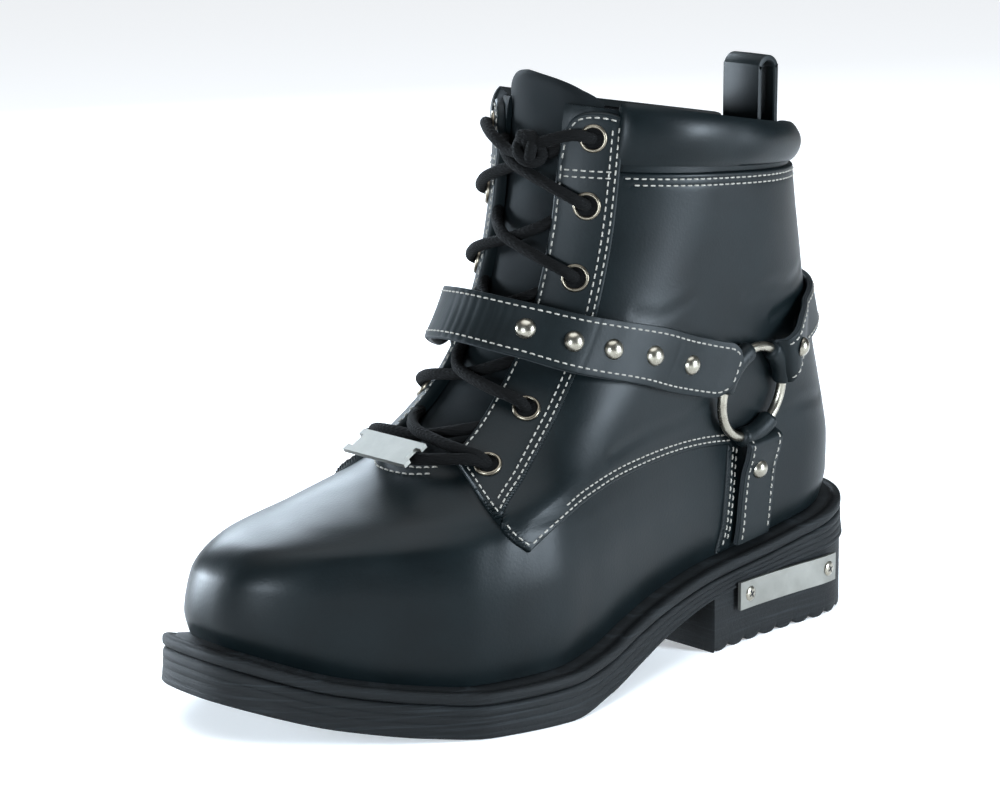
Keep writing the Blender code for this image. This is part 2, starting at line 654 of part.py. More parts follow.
def harness():
    """Straps, rings, studs and rivets."""
    tables = {"strap_front": STRAP_FRONT, "strap_back": STRAP_BACK, "strap_medial": STRAP_MEDIAL}
    for name, table in tables.items():
        strap(name, table)
    xs = np.linspace(*DOWN_STRAP[:2], 4)
    ups = np.linspace(*DOWN_STRAP[2:], DOWN_STRAP_ROWS + 1)
    around = around_at(xs, ups[:, None])
    lifts = edge_curve(DOWN_STRAP_LIFT)(ups)[:, None]
    shell("strap_down", [(around, np.broadcast_to(ups[:, None], around.shape))], lifts, STRAP_THICK,
          BLACK_LEATHER)
    for name, (a, height, lift, radius) in RING_PLACES.items():
        point, normal = lifted(a, up_at_height(a, height), lift)
        profile = [(radius + RING_WIRE * math.cos(t), RING_WIRE * math.sin(t))
                   for t in np.linspace(0, 2 * math.pi, RING_SIDES[1] + 1)[:-1]]
        turned(name, profile, RING_SIDES[0], facing(point, normal), NICKEL)
    for i, (a, height) in enumerate(STUD_PLACES):
        dome(f"stud_{i + 1}", *on_strap(stand_off(STRAP_FRONT), a, height, SEAT), STUD_RADIUS, STUD_DOME, NICKEL)
    for name, (a, height, seat, host) in RIVET_PLACES.items():
        clear_height = stand_off(tables[host]) if host in tables else level(STRAP_SEAT)
        dome(name, *on_strap(clear_height, a, height, seat), STUD_RADIUS, STUD_DOME, NICKEL)


def around_at(x, up):
    """The around value on the lateral side at which the last is at a distance from the heel."""
    row_back, row_front = (smooth(LAST[:, 0], LAST[:, i], up) for i in (1, 3))
    return np.arccos(1 - 2 * (x - row_back) / (row_front - row_back)) / math.pi


def tongue():
    """The tongue under the throat, standing above the collar."""
    around, up = patch(level(TONGUE_EDGE), level(2 - TONGUE_EDGE), level(TONGUE_SPAN[0]), TONGUE_SPAN[1],
                       *TONGUE_STEPS)
    shell("tongue", [(around, up)], -TONGUE_DEPTH - TONGUE_THICK, TONGUE_THICK, BLACK_LEATHER)


def eyelets():
    """Twelve turned eyelets on the eyestays."""
    inner, outer = EYELET_RADII
    rim = (outer - inner) / 3
    profile = ((inner, 0), (inner, EYELET_HEIGHT * 0.7), (inner + rim, EYELET_HEIGHT), (outer, 0))
    for side, sign in (("lateral", 1), ("medial", -1)):
        for i, up in enumerate(EYELET_UPS):
            point, normal = lifted(sign * EYELET_AROUND, up, OVERLAY_SEAT + EYESTAY_THICK + EYELET_GAP)
            turned(f"eyelet_{side}_{i + 1}", profile, EYELET_SIDES, facing(point, normal), OLD_BRASS)


def cord(name, points, radius, group):
    """A cord through boot-frame points, as a closed mesh tube."""
    line = bpy.data.curves.new(name, "CURVE")
    line.dimensions = "3D"
    line.bevel_depth = radius * MM
    line.bevel_resolution = 1
    line.use_fill_caps = True
    spline = line.splines.new("POLY")
    spline.points.add(len(points) - 1)
    for target, point in zip(spline.points, points):
        target.co = (*world(point), 1.0)
    guide = bpy.data.objects.new(name + "_guide", line)
    group.objects.link(guide)
    mesh = bpy.data.meshes.new_from_object(guide.evaluated_get(bpy.context.evaluated_depsgraph_get()))
    bpy.data.objects.remove(guide, do_unlink=True)
    bm = bmesh.new()
    bm.from_mesh(mesh)
    bpy.data.meshes.remove(mesh)
    piece = bpy.data.objects.new(name, mesh_from(bm, name))
    group.objects.link(piece)
    return piece


def lace_strand(first):
    """Points of one strand, from side to side up the throat, starting on the first side."""
    points = []
    for i, up in enumerate(EYELET_UPS):
        side = first if i % 2 == 0 else -first
        around = side * (EYELET_AROUND + LACE_TURN)
        points += [lifted(around, up + step, LACE_SEAT)[0] for step in (-LACE_TURN_RISE, LACE_TURN_RISE)]
        if i + 1 < len(EYELET_UPS):
            step = EYELET_UPS[i + 1] - up
            over = LACE_MIDDLE + (LACE_RADIUS if side > 0 else 0.0)
            stops = ((side * LACE_EDGE[0], LACE_EDGE[1]), (1.0, over), (-side * LACE_EDGE[0], LACE_EDGE[1]))
            points += [lifted(around, up + share * step, lift)[0]
                       for share, (around, lift) in zip(LACE_SHARES, stops)]
    return points


def lace_bar():
    """Points of the straight run between the lowest eyelets, which carries the charm."""
    turn = EYELET_AROUND + LACE_TURN
    stops = ((-turn, LACE_SEAT), (-LACE_EDGE[0], LACE_EDGE[1]), (1.0, LACE_BAR_MIDDLE),
             (LACE_EDGE[0], LACE_EDGE[1]), (turn, LACE_SEAT))
    return [lifted(around, EYELET_UPS[0], lift)[0] for around, lift in stops]


def laces():
    """The lace's crossings: a bar and two strands between the eyelets, joined where they meet."""
    piece = cord("lace_crossings", lace_strand(1), LACE_RADIUS, PARTS)
    piece.data.materials.append(finish("lace_crossings", BLACK_CLOTH))
    combine(piece, cord("lace_strand", lace_strand(-1), LACE_RADIUS, CUTTERS), "UNION")
    combine(piece, cord("lace_bar", lace_bar(), LACE_RADIUS, CUTTERS), "UNION")


def charm():
    """The bare metal plate carried on the lowest run, notched at both ends."""
    point, normal = lifted(1.0, EYELET_UPS[0], LACE_BAR_MIDDLE + LACE_RADIUS + SEAT + CHARM_SIZE[2] / 2)
    matrix = facing(point, normal)
    bm = bmesh.new()
    bmesh.ops.create_cube(bm, size=1.0)
    bmesh.ops.scale(bm, vec=[s * MM for s in CHARM_SIZE], verts=bm.verts)
    piece = place("lace_charm", mesh_from(bm, "lace_charm"), NICKEL)
    piece.matrix_world = matrix
    for end in (-1, 1):
        cut(piece, (*CHARM_NOTCH, 2 * CHARM_SIZE[2]), matrix @ Matrix.Translation(
            Vector((end * CHARM_SIZE[0] / 2 * MM, 0, 0))))


def block(name, size, matrix, collection):
    """A box of a size in millimetres, its middle at the matrix's origin."""
    bm = bmesh.new()
    bmesh.ops.create_cube(bm, size=1.0)
    bmesh.ops.scale(bm, vec=[s * MM for s in size], verts=bm.verts)
    mesh = bpy.data.meshes.new(name)
    bm.to_mesh(mesh)
    bm.free()
    piece = bpy.data.objects.new(name, mesh)
    piece.matrix_world = matrix
    collection.objects.link(piece)
    return piece


def rod(name, radius, length, matrix, collection, segments=12):
    """A round bar along local X, its middle at the matrix's origin."""
    bm = bmesh.new()
    bmesh.ops.create_cone(bm, cap_ends=True, segments=segments, radius1=radius * MM, radius2=radius * MM,
                          depth=length * MM, matrix=Matrix.Rotation(math.pi / 2, 4, "Y"))
    mesh = bpy.data.meshes.new(name)
    bm.to_mesh(mesh)
    bm.free()
    piece = bpy.data.objects.new(name, mesh)
    piece.matrix_world = matrix
    collection.objects.link(piece)
    return piece


def combine(piece, tool, operation):
    """Join a tool to a piece, or cut it away, with a Boolean."""
    tool.hide_render = True
    tool.display_type = "WIRE"
    modifier = piece.modifiers.new(operation.lower(), "BOOLEAN")
    modifier.operation = operation
    modifier.object = tool


def cut(piece, size, matrix):
    """Cut a box out of a piece."""
    combine(piece, block("cutter", size, matrix, CUTTERS), "DIFFERENCE")


def fastener():
    """The zip: tape, chain, slider with its pin, and the pull tab that turns on it."""
    tape = patch(zip_line(-ZIP_EDGE), zip_line(ZIP_EDGE), level(ZIP_SPAN[0]), ZIP_SPAN[1], 2, ZIP_ROWS, -1)
    shell("zip_tape", [tape], OVERLAY_SEAT, TAPE_THICK, BLACK_CLOTH)
    chain = patch(zip_line(-CHAIN_EDGE), zip_line(CHAIN_EDGE), level(CHAIN_SPAN[0]), CHAIN_SPAN[1], 1,
                  ZIP_ROWS, -1)
    shell("zip_chain", [chain], OVERLAY_SEAT + SEAT + TAPE_THICK, CHAIN_THICK, NICKEL)
    around = -float(zip_line()(SLIDER_UP))
    base = OVERLAY_SEAT + SEAT + TAPE_THICK
    below, above = (skin(-float(zip_line()(up)), up) for up in (SLIDER_UP - 0.03, SLIDER_UP + 0.03))
    _, normal = lifted(around, SLIDER_UP, 0.0)
    pin_point, _ = lifted(around, SLIDER_UP, base + SLIDER_BODY[2] + PIN_RISE)
    pin = facing(pin_point, normal, above - below)
    down = -(PIN_RISE + SLIDER_BODY[2] / 2) * MM
    slider = block("zip_slider", SLIDER_BODY, pin @ Matrix.Translation((0, 0, down)), PARTS)
    slider.data.materials.append(finish("zip_slider", NICKEL))
    lug_x = (TAB_EYE[2] / 2 + LUG_GAP + SLIDER_LUG[0] / 2) * MM
    lug_z = (SLIDER_LUG[2] / 2 - PIN_RISE - PIN_RADIUS) * MM
    for end in (-1, 1):
        combine(slider, block("lug", SLIDER_LUG, pin @ Matrix.Translation((end * lug_x, 0, lug_z)), CUTTERS),
                "UNION")
    span = TAB_EYE[2] + 2 * LUG_GAP + SLIDER_LUG[0]
    combine(slider, rod("pin", PIN_RADIUS, span, pin, CUTTERS), "UNION")
    tab = rod("zip_pull_tab", TAB_EYE[0], TAB_EYE[2], pin, PARTS)
    tab.data.materials.append(finish("zip_pull_tab", NICKEL))
    neck = block("tab_neck", (TAB_EYE[2], 2 * TAB_NECK, TAB_PLATE[2] + SEAT),
                 pin @ Matrix.Translation((0, -TAB_NECK * MM, 0)), CUTTERS)
    combine(tab, neck, "UNION")
    middle = -(TAB_PLATE[1] / 2 + TAB_NECK) * MM
    combine(tab, block("tab_plate", TAB_PLATE, pin @ Matrix.Translation((0, middle, 0)), CUTTERS), "UNION")
    cut(tab, (*TAB_WINDOW, 2 * TAB_PLATE[2]), pin @ Matrix.Translation((0, middle - TAB_NECK * MM, 0)))
    combine(tab, rod("eye", TAB_EYE[1], 2 * TAB_EYE[2], pin, CUTTERS), "DIFFERENCE")


def pull_loop():
    """The leather loop at the back of the collar: a folded strip, up outside and down inside."""
    outer = [lifted(0.0, up, OVERLAY_SEAT + SEAT + OVERLAY_THICK + LOOP_THICK)[0] for up in LOOP_UPS]
    inner = [lifted(0.0, up, -WALL - SEAT - LOOP_BOW - LOOP_THICK)[0] for up in LOOP_UPS[::-1]]
    top = max(outer[-1][2], inner[0][2]) + LOOP_RISE
    middle = (outer[-1][0] + inner[0][0]) / 2
    radius = (inner[0][0] - outer[-1][0]) / 2
    arc = [np.array([middle - radius * math.cos(t), 0.0, top - radius + radius * math.sin(t)])
           for t in np.linspace(0, math.pi, 8)]
    half = np.array([0.0, LOOP_WIDTH / 2, 0.0])
    bm = bmesh.new()
    path = np.array([*outer, *arc, *inner])
    away = path[:-1] - np.array([middle, 0.0, outer[0][2]])
    add_sheet(bm, np.stack([path - half, path + half], 1), away[:, None])
    mesh = bpy.data.meshes.new("pull_loop")
    bm.to_mesh(mesh)
    bm.free()
    thicken(place("pull_loop", mesh, BLACK_LEATHER), LOOP_THICK)


def collection(name):
    """A new collection in the scene."""
    group = bpy.data.collections.new(name)
    bpy.context.scene.collection.children.link(group)
    return group


for thing in list(bpy.data.objects):
    bpy.data.objects.remove(thing, do_unlink=True)
PARTS = collection("motorcycle_boot")
CUTTERS = collection("cutters")
sole_layers()
heel()
heel_plate()
upper()
tongue()
overlays()
harness()
fastener()
eyelets()
laces()
charm()
pull_loop()
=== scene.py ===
"""Looks of a left motorcycle boot: sewn leather upper, harness, side zip, lacing and a heeled rubber sole.

Lengths are millimetres in the boot's own frame: x forward from the back of the heel, y to the lateral side,
z up from the floor. Places on the upper are pairs: around (0 back, 1 front, negative on the medial side) and
up (0 at the feather line, 1 at the collar).
"""
import logging
import math
from dataclasses import dataclass, field
from enum import Enum
from typing import Callable, Optional, Sequence

import bpy
import numpy as np
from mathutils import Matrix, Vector
from mathutils.geometry import delaunay_2d_cdt


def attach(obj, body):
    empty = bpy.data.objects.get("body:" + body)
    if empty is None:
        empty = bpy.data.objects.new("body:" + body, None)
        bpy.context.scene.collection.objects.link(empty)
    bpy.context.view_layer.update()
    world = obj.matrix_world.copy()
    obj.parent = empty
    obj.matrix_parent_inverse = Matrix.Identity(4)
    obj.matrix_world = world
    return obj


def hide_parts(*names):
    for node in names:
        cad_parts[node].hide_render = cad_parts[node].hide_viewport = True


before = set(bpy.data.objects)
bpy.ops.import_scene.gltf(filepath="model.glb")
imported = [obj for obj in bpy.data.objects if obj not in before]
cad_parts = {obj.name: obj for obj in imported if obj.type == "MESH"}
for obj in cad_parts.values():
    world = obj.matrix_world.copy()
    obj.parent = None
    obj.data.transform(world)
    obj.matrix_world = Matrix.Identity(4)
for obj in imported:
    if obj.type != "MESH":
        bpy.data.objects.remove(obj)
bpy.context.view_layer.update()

LOG = logging.getLogger("boot")
Array = np.ndarray
Curve = Callable[[Array], Array]
MM = 0.001
BODY = "boot"
# The frame's origin in the boot's own frame
ORIGIN = np.array([153.0, 2.76934913, 0.0])
# Clear height of a sewn piece over the last
SEAT = 0.3
# Step of a line of around and up pairs
PAIR_STEP = 0.004


class Slot(Enum):
    """Material slots of the record."""

    LEATHER = "black_leather"
    RUBBER = "black_rubber"
    CLOTH = "black_cloth"
    NICKEL = "nickel_steel"
    BRASS = "old_brass"


# Small tools


def linear(hex_colour: str) -> tuple[float, float, float, float]:
    """Linear colour of an sRGB hex value.

    Args:
        hex_colour: six hex digits.

    Returns:
        Red, green, blue and alpha.
    """
    parts = [int(hex_colour[i:i + 2], 16) / 255 for i in (0, 2, 4)]
    return (*(p / 12.92 if p <= 0.04045 else ((p + 0.055) / 1.055) ** 2.4 for p in parts), 1.0)


def add_node(tree: bpy.types.NodeTree, kind: str, settings: Optional[dict] = None, **links) -> bpy.types.Node:
    """Add a node with its settings and links.

    Args:
        tree: the material's node tree.
        kind: the node's type name.
        settings: values for its attributes, or for its input sockets by name or number.
        links: input socket name (spaces as underscores) to the output socket that feeds it.

    Returns:
        The new node.
    """
    node = tree.nodes.new(kind)
    for key, value in (settings or {}).items():
        if isinstance(key, str) and hasattr(node, key):
            setattr(node, key, value)
        else:
            node.inputs[key].default_value = value
    for key, socket in links.items():
        tree.links.new(socket, node.inputs[int(key[1:]) if key[1:].isdigit() else key.replace("_", " ")])
    return node


def smooth(xs: Sequence[float], ys: Sequence[float], x: Array) -> Array:
    """Value at x of the smooth curve through the points, flat where the points turn.

    Args:
        xs: rising places of the points.
        ys: values at the points.
        x: where to read the curve.

    Returns:
        Values of the curve, held beyond both ends.
    """
    xs, ys, x = (np.asarray(v, float) for v in (xs, ys, x))
    step = np.diff(xs)
    slope = np.diff(ys) / step
    tangent = np.zeros_like(ys)
    same = slope[:-1] * slope[1:] > 0
    w1 = 2 * step[1:] + step[:-1]
    w2 = step[1:] + 2 * step[:-1]
    safe = np.where(same, slope[:-1], 1.0), np.where(same, slope[1:], 1.0)
    tangent[1:-1] = np.where(same, (w1 + w2) / (w1 / safe[0] + w2 / safe[1]), 0.0)
    tangent[0], tangent[-1] = slope[0], slope[-1]
    x = np.clip(x, xs[0], xs[-1])
    i = np.clip(np.searchsorted(xs, x) - 1, 0, len(xs) - 2)
    h = step[i]
    q = (x - xs[i]) / h
    return (ys[i] * (1 + 2 * q) * (1 - q) ** 2 + tangent[i] * h * q * (1 - q) ** 2
            + ys[i + 1] * q * q * (3 - 2 * q) + tangent[i + 1] * h * q * q * (q - 1))


def end_round(distance: Array, radius: Array, power: Array) -> Array:
    """Width factor, 0 at the end of a form and 1 from one radius inside it."""
    q = np.clip(1 - np.asarray(distance, float) / radius, 0, 1)
    return (1 - q ** power) ** (1 / power)


def unit(vectors: Array) -> Array:
    """Vectors of length one."""
    return vectors / np.maximum(np.linalg.norm(vectors, axis=-1, keepdims=True), 1e-9)


def lengths(points: Array) -> Array:
    """Length along a polyline at each of its points."""
    return np.concatenate([[0], np.cumsum(np.linalg.norm(np.diff(points, axis=0), axis=1))])


def read_at(at: Array, length: Array, rows: Array) -> Array:
    """Rows of values along a line, read at other lengths."""
    return np.stack([np.interp(at, length, column) for column in rows.T], -1)


def even(points: Array, step: float) -> Array:
    """Points at an even step along a polyline.

    Args:
        points: the polyline.
        step: wanted spacing in its own units.

    Returns:
        Points from its first to its last.
    """
    length = lengths(points)
    at = np.linspace(0, length[-1], max(2, int(round(length[-1] / step)) + 1))
    return read_at(at, length, points)


def rounded_line(points: Array, step: float = 1.0) -> Array:
    """A smooth line through points, evenly spaced.

    Args:
        points: control points, in any dimension.
        step: spacing of the result.

    Returns:
        Points along a Catmull-Rom curve.
    """
    points = np.asarray(points, float)
    ends = np.vstack([2 * points[0] - points[1], points, 2 * points[-1] - points[-2]])
    q = np.linspace(0, 1, 16, endpoint=False)[:, None]
    spans = []
    for a, b, c, d in zip(ends, ends[1:], ends[2:], ends[3:]):
        spans.append(0.5 * (2 * b + (c - a) * q + (2 * a - 5 * b + 4 * c - d) * q ** 2
                            + (3 * b - a - 3 * c + d) * q ** 3))
    return even(np.vstack([*spans, points[-1:]]), step)


def piece_from(name: str, points: Array, faces: Sequence[Sequence[int]], material: bpy.types.Material,
               slot: Optional[Slot], replaced: Sequence[str] = (), smooth_angle: float = 50.0,
               body: str = BODY) -> bpy.types.Object:
    """Make a piece of the boot from boot-frame points.

    Args:
        name: the piece's name.
        points: vertices in millimetres.
        faces: vertex numbers of each face.
        material: its finish.
        slot: the record's slot of its finish; not used.
        replaced: CAD nodes that it stands for.
        smooth_angle: edges sharper than this many degrees stay sharp.
        body: the CAD body that it rides on.

    Returns:
        The new object.
    """
    mesh = bpy.data.meshes.new(name)
    corners = (np.asarray(points, float) - ORIGIN) * MM
    mesh.from_pydata(corners.tolist(), [], [tuple(map(int, f)) for f in faces])
    mesh.validate()
    mesh.materials.append(material)
    mesh.shade_smooth()
    mesh.set_sharp_from_angle(angle=math.radians(smooth_angle))
    piece = bpy.data.objects.new(name, mesh)
    bpy.context.scene.collection.objects.link(piece)
    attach(piece, body)
    if replaced:
        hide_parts(*replaced)
    LOG.info("%s: %d faces", name, len(mesh.polygons))
    return piece


def grid_faces(rows: int, columns: int, wrap: bool = False, first: int = 0) -> list[tuple[int, ...]]:
    """Quads over a grid of numbered points.

    Args:
        rows: count of rows.
        columns: points in each row.
        wrap: whether the last column meets the first.
        first: number of the first point.

    Returns:
        Vertex numbers of each quad.
    """
    faces = []
    for j in range(rows - 1):
        for i in range(columns if wrap else columns - 1):
            k = (i + 1) % columns
            faces.append((first + j * columns + i, first + j * columns + k, first + (j + 1) * columns + k,
                          first + (j + 1) * columns + i))
    return faces


def capped(rows: int, count: int) -> list[tuple[int, ...]]:
    """Faces of a swept form, closed by one face at each end.

    Args:
        rows: sections along it.
        count: points round each section.

    Returns:
        Vertex numbers of each face.
    """
    last = (rows - 1) * count
    return [*grid_faces(rows, count, True), tuple(range(count))[::-1], tuple(range(last, last + count))]


def turned_over(faces: Sequence[Sequence[int]]) -> list[tuple[int, ...]]:
    """The same faces, pointing the other way."""
    return [tuple(face)[::-1] for face in faces]


def closed_sheet(top: Array, bottom: Array, faces: Sequence[Sequence[int]]) -> tuple[Array, list]:
    """A closed solid between two sheets with the same faces.

    Args:
        top: points of the outer sheet, whose faces point out.
        bottom: points of the inner sheet, in the same order.
        faces: faces of the outer sheet.

    Returns:
        All points, and the faces with the inner sheet turned over and the borders walled.
    """
    count = len(top)
    seen = dict.fromkeys((a, b) for face in faces for a, b in zip(face, [*face[1:], face[0]]))
    walls = [(b, a, a + count, b + count) for a, b in seen if (b, a) not in seen]
    inner = [tuple(v + count for v in reversed(face)) for face in faces]
    return np.vstack([top, bottom]), [*map(tuple, faces), *inner, *walls]


def tube(path: Array, radii: Array, sides: int = 12, closed: bool = False) -> tuple[Array, list]:
    """A round tube along a path.

    Args:
        path: centre points.
        radii: radius at each point.
        sides: corners of its section.
        closed: whether the path is a loop.

    Returns:
        Points and faces.
    """
    tangent = np.roll(path, -1, 0) - np.roll(path, 1, 0)
    if not closed:
        tangent[0], tangent[-1] = path[1] - path[0], path[-1] - path[-2]
    tangent = unit(tangent)
    side = np.zeros_like(path)
    off_path = (0.3, 0.5, 0.8)
    guess = np.cross(tangent[0], off_path)
    for i, t in enumerate(tangent):
        guess = guess - t * (guess @ t)
        guess = guess / np.linalg.norm(guess)
        side[i] = guess
    other = np.cross(tangent, side)
    turn = np.linspace(0, 2 * math.pi, sides, endpoint=False)
    ring = np.cos(turn)[None, :, None] * side[:, None] + np.sin(turn)[None, :, None] * other[:, None]
    points = path[:, None] + ring * np.asarray(radii, float).reshape(-1, 1, 1)
    if not closed:
        return points.reshape(-1, 3), capped(len(path), sides)
    last = (len(path) - 1) * sides
    join = [(last + i, last + (i + 1) % sides, (i + 1) % sides, i) for i in range(sides)]
    return points.reshape(-1, 3), grid_faces(len(path), sides, True) + join


def frame_at(normal: Array, rise: Sequence[float] = (0.0, 0.0, 1.0)) -> Array:
    """Directions at a place on a surface.

    Args:
        normal: outward direction there.
        rise: roughly where up is.

    Returns:
        Rows of side, rise and outward directions.
    """
    out = unit(np.asarray(normal, float))
    side = unit(np.cross(rise, out))
    return np.stack([side, np.cross(out, side), out])


def turned(profile: Sequence[tuple[float, float]], segments: int, place: Array,
           axes: Array) -> tuple[Array, list]:
    """A turned form from a profile, closed by a flat face at its end.

    Args:
        profile: radius and height pairs, outwards from the first on the axis.
        segments: steps round the axis.
        place: its centre.
        axes: rows of side, rise and outward directions.

    Returns:
        Points and faces.
    """
    turn = np.linspace(0, 2 * math.pi, segments, endpoint=False)
    rings = [(r * math.cos(t), r * math.sin(t), h) for r, h in profile[1:] for t in turn]
    points = np.array([(0.0, 0.0, profile[0][1]), *rings])
    faces = [(0, 1 + i, 1 + (i + 1) % segments) for i in range(segments)]
    faces += turned_over(grid_faces(len(profile) - 1, segments, True, 1))
    faces.append(tuple(range(len(points) - segments, len(points)))[::-1])
    return points @ axes + place, faces


def merged(parts: Sequence[tuple[Array, list]]) -> tuple[Array, list]:
    """Several point and face sets as one.

    Args:
        parts: points and faces of each set.

    Returns:
        All points, and all faces with their new numbers.
    """
    points, faces, start = [], [], 0
    for part_points, part_faces in parts:
        points.append(part_points)
        faces += [tuple(v + start for v in f) for f in part_faces]
        start += len(part_points)
    return np.vstack(points), faces


def bevelled(size: Sequence[float], place: Array, axes: Array, nose: int = 0) -> tuple[Array, list]:
    """A small block with its top pulled in, and one end narrowed where nose says so.

    Args:
        size: width, height and depth.
        place: its centre.
        axes: rows of side, rise and outward directions.
        nose: end that is narrowed, -1, 0 or 1.

    Returns:
        Points and faces.
    """
    w, h, d = (s / 2 for s in size)
    # Height, and share of the width and of the height left there
    levels = ((-d, 1.0, 1.0), (0.3 * d, 1.0, 1.0), (d, 0.88, 0.72))
    nose_share = 0.6
    corners = []
    for out, wide, tall in levels:
        for sx, sy in ((-1, -1), (1, -1), (1, 1), (-1, 1)):
            narrow = nose_share if nose and sx == nose else 1.0
            corners.append((sx * w * wide, sy * h * tall * narrow, out))
    return np.array(corners) @ axes + place, capped(len(levels), 4)


# Finishes


def feed(tree: bpy.types.NodeTree, socket: str, source: bpy.types.NodeSocket) -> None:
    """Link a value to a socket of the tree's shader."""
    tree.links.new(source, tree.nodes["Principled BSDF"].inputs[socket])


def noise(tree: bpy.types.NodeTree, size_mm: float, detail: float,
          roughness: float = 0.5) -> bpy.types.NodeSocket:
    """Noise with marks of a real size.

    Args:
        tree: the material's node tree.
        size_mm: size of the marks.
        detail: how many finer layers it has.
        roughness: how strong the finer layers are.

    Returns:
        The socket that gives its value.
    """
    place = add_node(tree, "ShaderNodeTexCoord").outputs["Object"]
    settings = {"Scale": 1 / (size_mm * MM), "Detail": detail, "Roughness": roughness}
    return add_node(tree, "ShaderNodeTexNoise", settings, Vector=place).outputs["Fac"]


def threads(tree: bpy.types.NodeTree, size_mm: float, direction: str, distortion: float,
            detail: float = 2.0) -> bpy.types.NodeSocket:
    """Bands of thread of a real size.

    Args:
        tree: the material's node tree.
        size_mm: width of a thread.
        direction: which way the bands follow each other.
        distortion: how uneven they are.
        detail: how many finer layers the unevenness has.

    Returns:
        The socket that gives their height.
    """
    place = add_node(tree, "ShaderNodeTexCoord").outputs["Object"]
    band = 6.283 / 2
    settings = {"Scale": 1 / (band * size_mm * MM), "bands_direction": direction, "Distortion": distortion,
                "Detail": detail}
    return add_node(tree, "ShaderNodeTexWave", settings, Vector=place).outputs["Fac"]


def summed(tree: bpy.types.NodeTree, fine: bpy.types.NodeSocket, share: float,
           coarse: bpy.types.NodeSocket) -> bpy.types.NodeSocket:
    """A coarse height with a share of a fine one on it."""
    settings = {"operation": "MULTIPLY_ADD", 1: share}
    return add_node(tree, "ShaderNodeMath", settings, _0=fine, _2=coarse).outputs[0]


def bump(tree: bpy.types.NodeTree, height: bpy.types.NodeSocket, strength: float, depth_mm: float) -> None:
    """Raise the surface by a height value of a real depth."""
    node = add_node(tree, "ShaderNodeBump", {"Strength": strength, "Distance": depth_mm * MM}, Height=height)
    feed(tree, "Normal", node.outputs[0])


def tint(tree: bpy.types.NodeTree, first: str, second: str, share: bpy.types.NodeSocket) -> None:
    """Colour the surface from one colour to another by a value."""
    settings = {"data_type": "RGBA", 6: linear(first), 7: linear(second)}
    feed(tree, "Base Color", add_node(tree, "ShaderNodeMix", settings, _0=share).outputs[2])


def shine(tree: bpy.types.NodeTree, low: float, high: float, share: bpy.types.NodeSocket) -> None:
    """Vary the surface's roughness between two values."""
    settings = {"To Min": low, "To Max": high}
    feed(tree, "Roughness", add_node(tree, "ShaderNodeMapRange", settings, Value=share).outputs[0])


@dataclass(frozen=True)
class Finish:
    """A material: its name, colour and how it takes the light."""

    name: str
    colour: str
    roughness: float
    metallic: float = 0.0
    specular: float = 0.5
    glow: float = 0.0

    def start(self) -> tuple[bpy.types.Material, bpy.types.NodeTree]:
        """A new material with the constant sockets set on its shader.

        Returns:
            The material and its node tree.
        """
        material = bpy.data.materials.new(self.name)
        material.use_nodes = True
        shader = material.node_tree.nodes["Principled BSDF"]
        shader.inputs["Base Color"].default_value = linear(self.colour)
        shader.inputs["Roughness"].default_value = self.roughness
        shader.inputs["Metallic"].default_value = self.metallic
        shader.inputs["Specular IOR Level"].default_value = self.specular
        shader.inputs["Emission Color"].default_value = linear(self.colour)
        shader.inputs["Emission Strength"].default_value = self.glow
        return material, material.node_tree

    def make(self) -> bpy.types.Material:
        """The finished material."""
        return self.start()[0]


@dataclass(frozen=True)
class GrainedLeather(Finish):
    """Chrome-tanned cowhide with a smooth waxed top: fine pebbled grain and a soft, slightly blue shine."""

    grain_mm: float = 0.9
    grain_depth_mm: float = 0.05
    cloud_mm: float = 22.0
    tone: str = "081012"
    shine_range: tuple[float, float] = (-0.07, 0.09)

    def make(self) -> bpy.types.Material:
        """Leather with grain, pores and slow changes of shine.

        Returns:
            The material.
        """
        material, tree = self.start()
        cloud = noise(tree, self.cloud_mm, 4.0)
        place = add_node(tree, "ShaderNodeTexCoord").outputs["Object"]
        pebbles = {"feature": "SMOOTH_F1", "Scale": 1 / (self.grain_mm * MM)}
        grain = add_node(tree, "ShaderNodeTexVoronoi", pebbles, Vector=place).outputs["Distance"]
        pores = noise(tree, self.grain_mm / 3, 3.0)
        bump(tree, summed(tree, pores, 0.45, grain), 0.5, self.grain_depth_mm)
        shine(tree, *(self.roughness + change for change in self.shine_range), cloud)
        tint(tree, self.colour, self.tone, cloud)
        return material


@dataclass(frozen=True)
class MouldedRubber(Finish):
    """Moulded and buffed sole rubber: fine lengthwise scratches, dusty in the hollows, little shine."""

    streak_mm: tuple[float, float, float] = (40.0, 40.0, 0.8)
    speck_mm: float = 1.1
    scratch_depth_mm: float = 0.5
    dust: str = "1e2224"
    dusty: tuple[float, float] = (0.52, 0.78)

    def make(self) -> bpy.types.Material:
        """Rubber with drawn-out streaks and a faint crumb.

        Returns:
            The material.
        """
        material, tree = self.start()
        place = add_node(tree, "ShaderNodeTexCoord").outputs["Object"]
        drawn_out = {"Scale": [1 / (s * MM) for s in self.streak_mm]}
        place = add_node(tree, "ShaderNodeMapping", drawn_out, Vector=place).outputs[0]
        streak = add_node(tree, "ShaderNodeTexNoise", {"Scale": 1.0, "Detail": 6.0, "Roughness": 0.7},
                          Vector=place).outputs["Fac"]
        speck = noise(tree, self.speck_mm, 3.0)
        bump(tree, summed(tree, speck, 0.35, streak), 0.55, self.scratch_depth_mm)
        limits = {"From Min": self.dusty[0], "From Max": self.dusty[1]}
        worn = add_node(tree, "ShaderNodeMapRange", limits, Value=streak).outputs[0]
        tint(tree, self.colour, self.dust, worn)
        return material


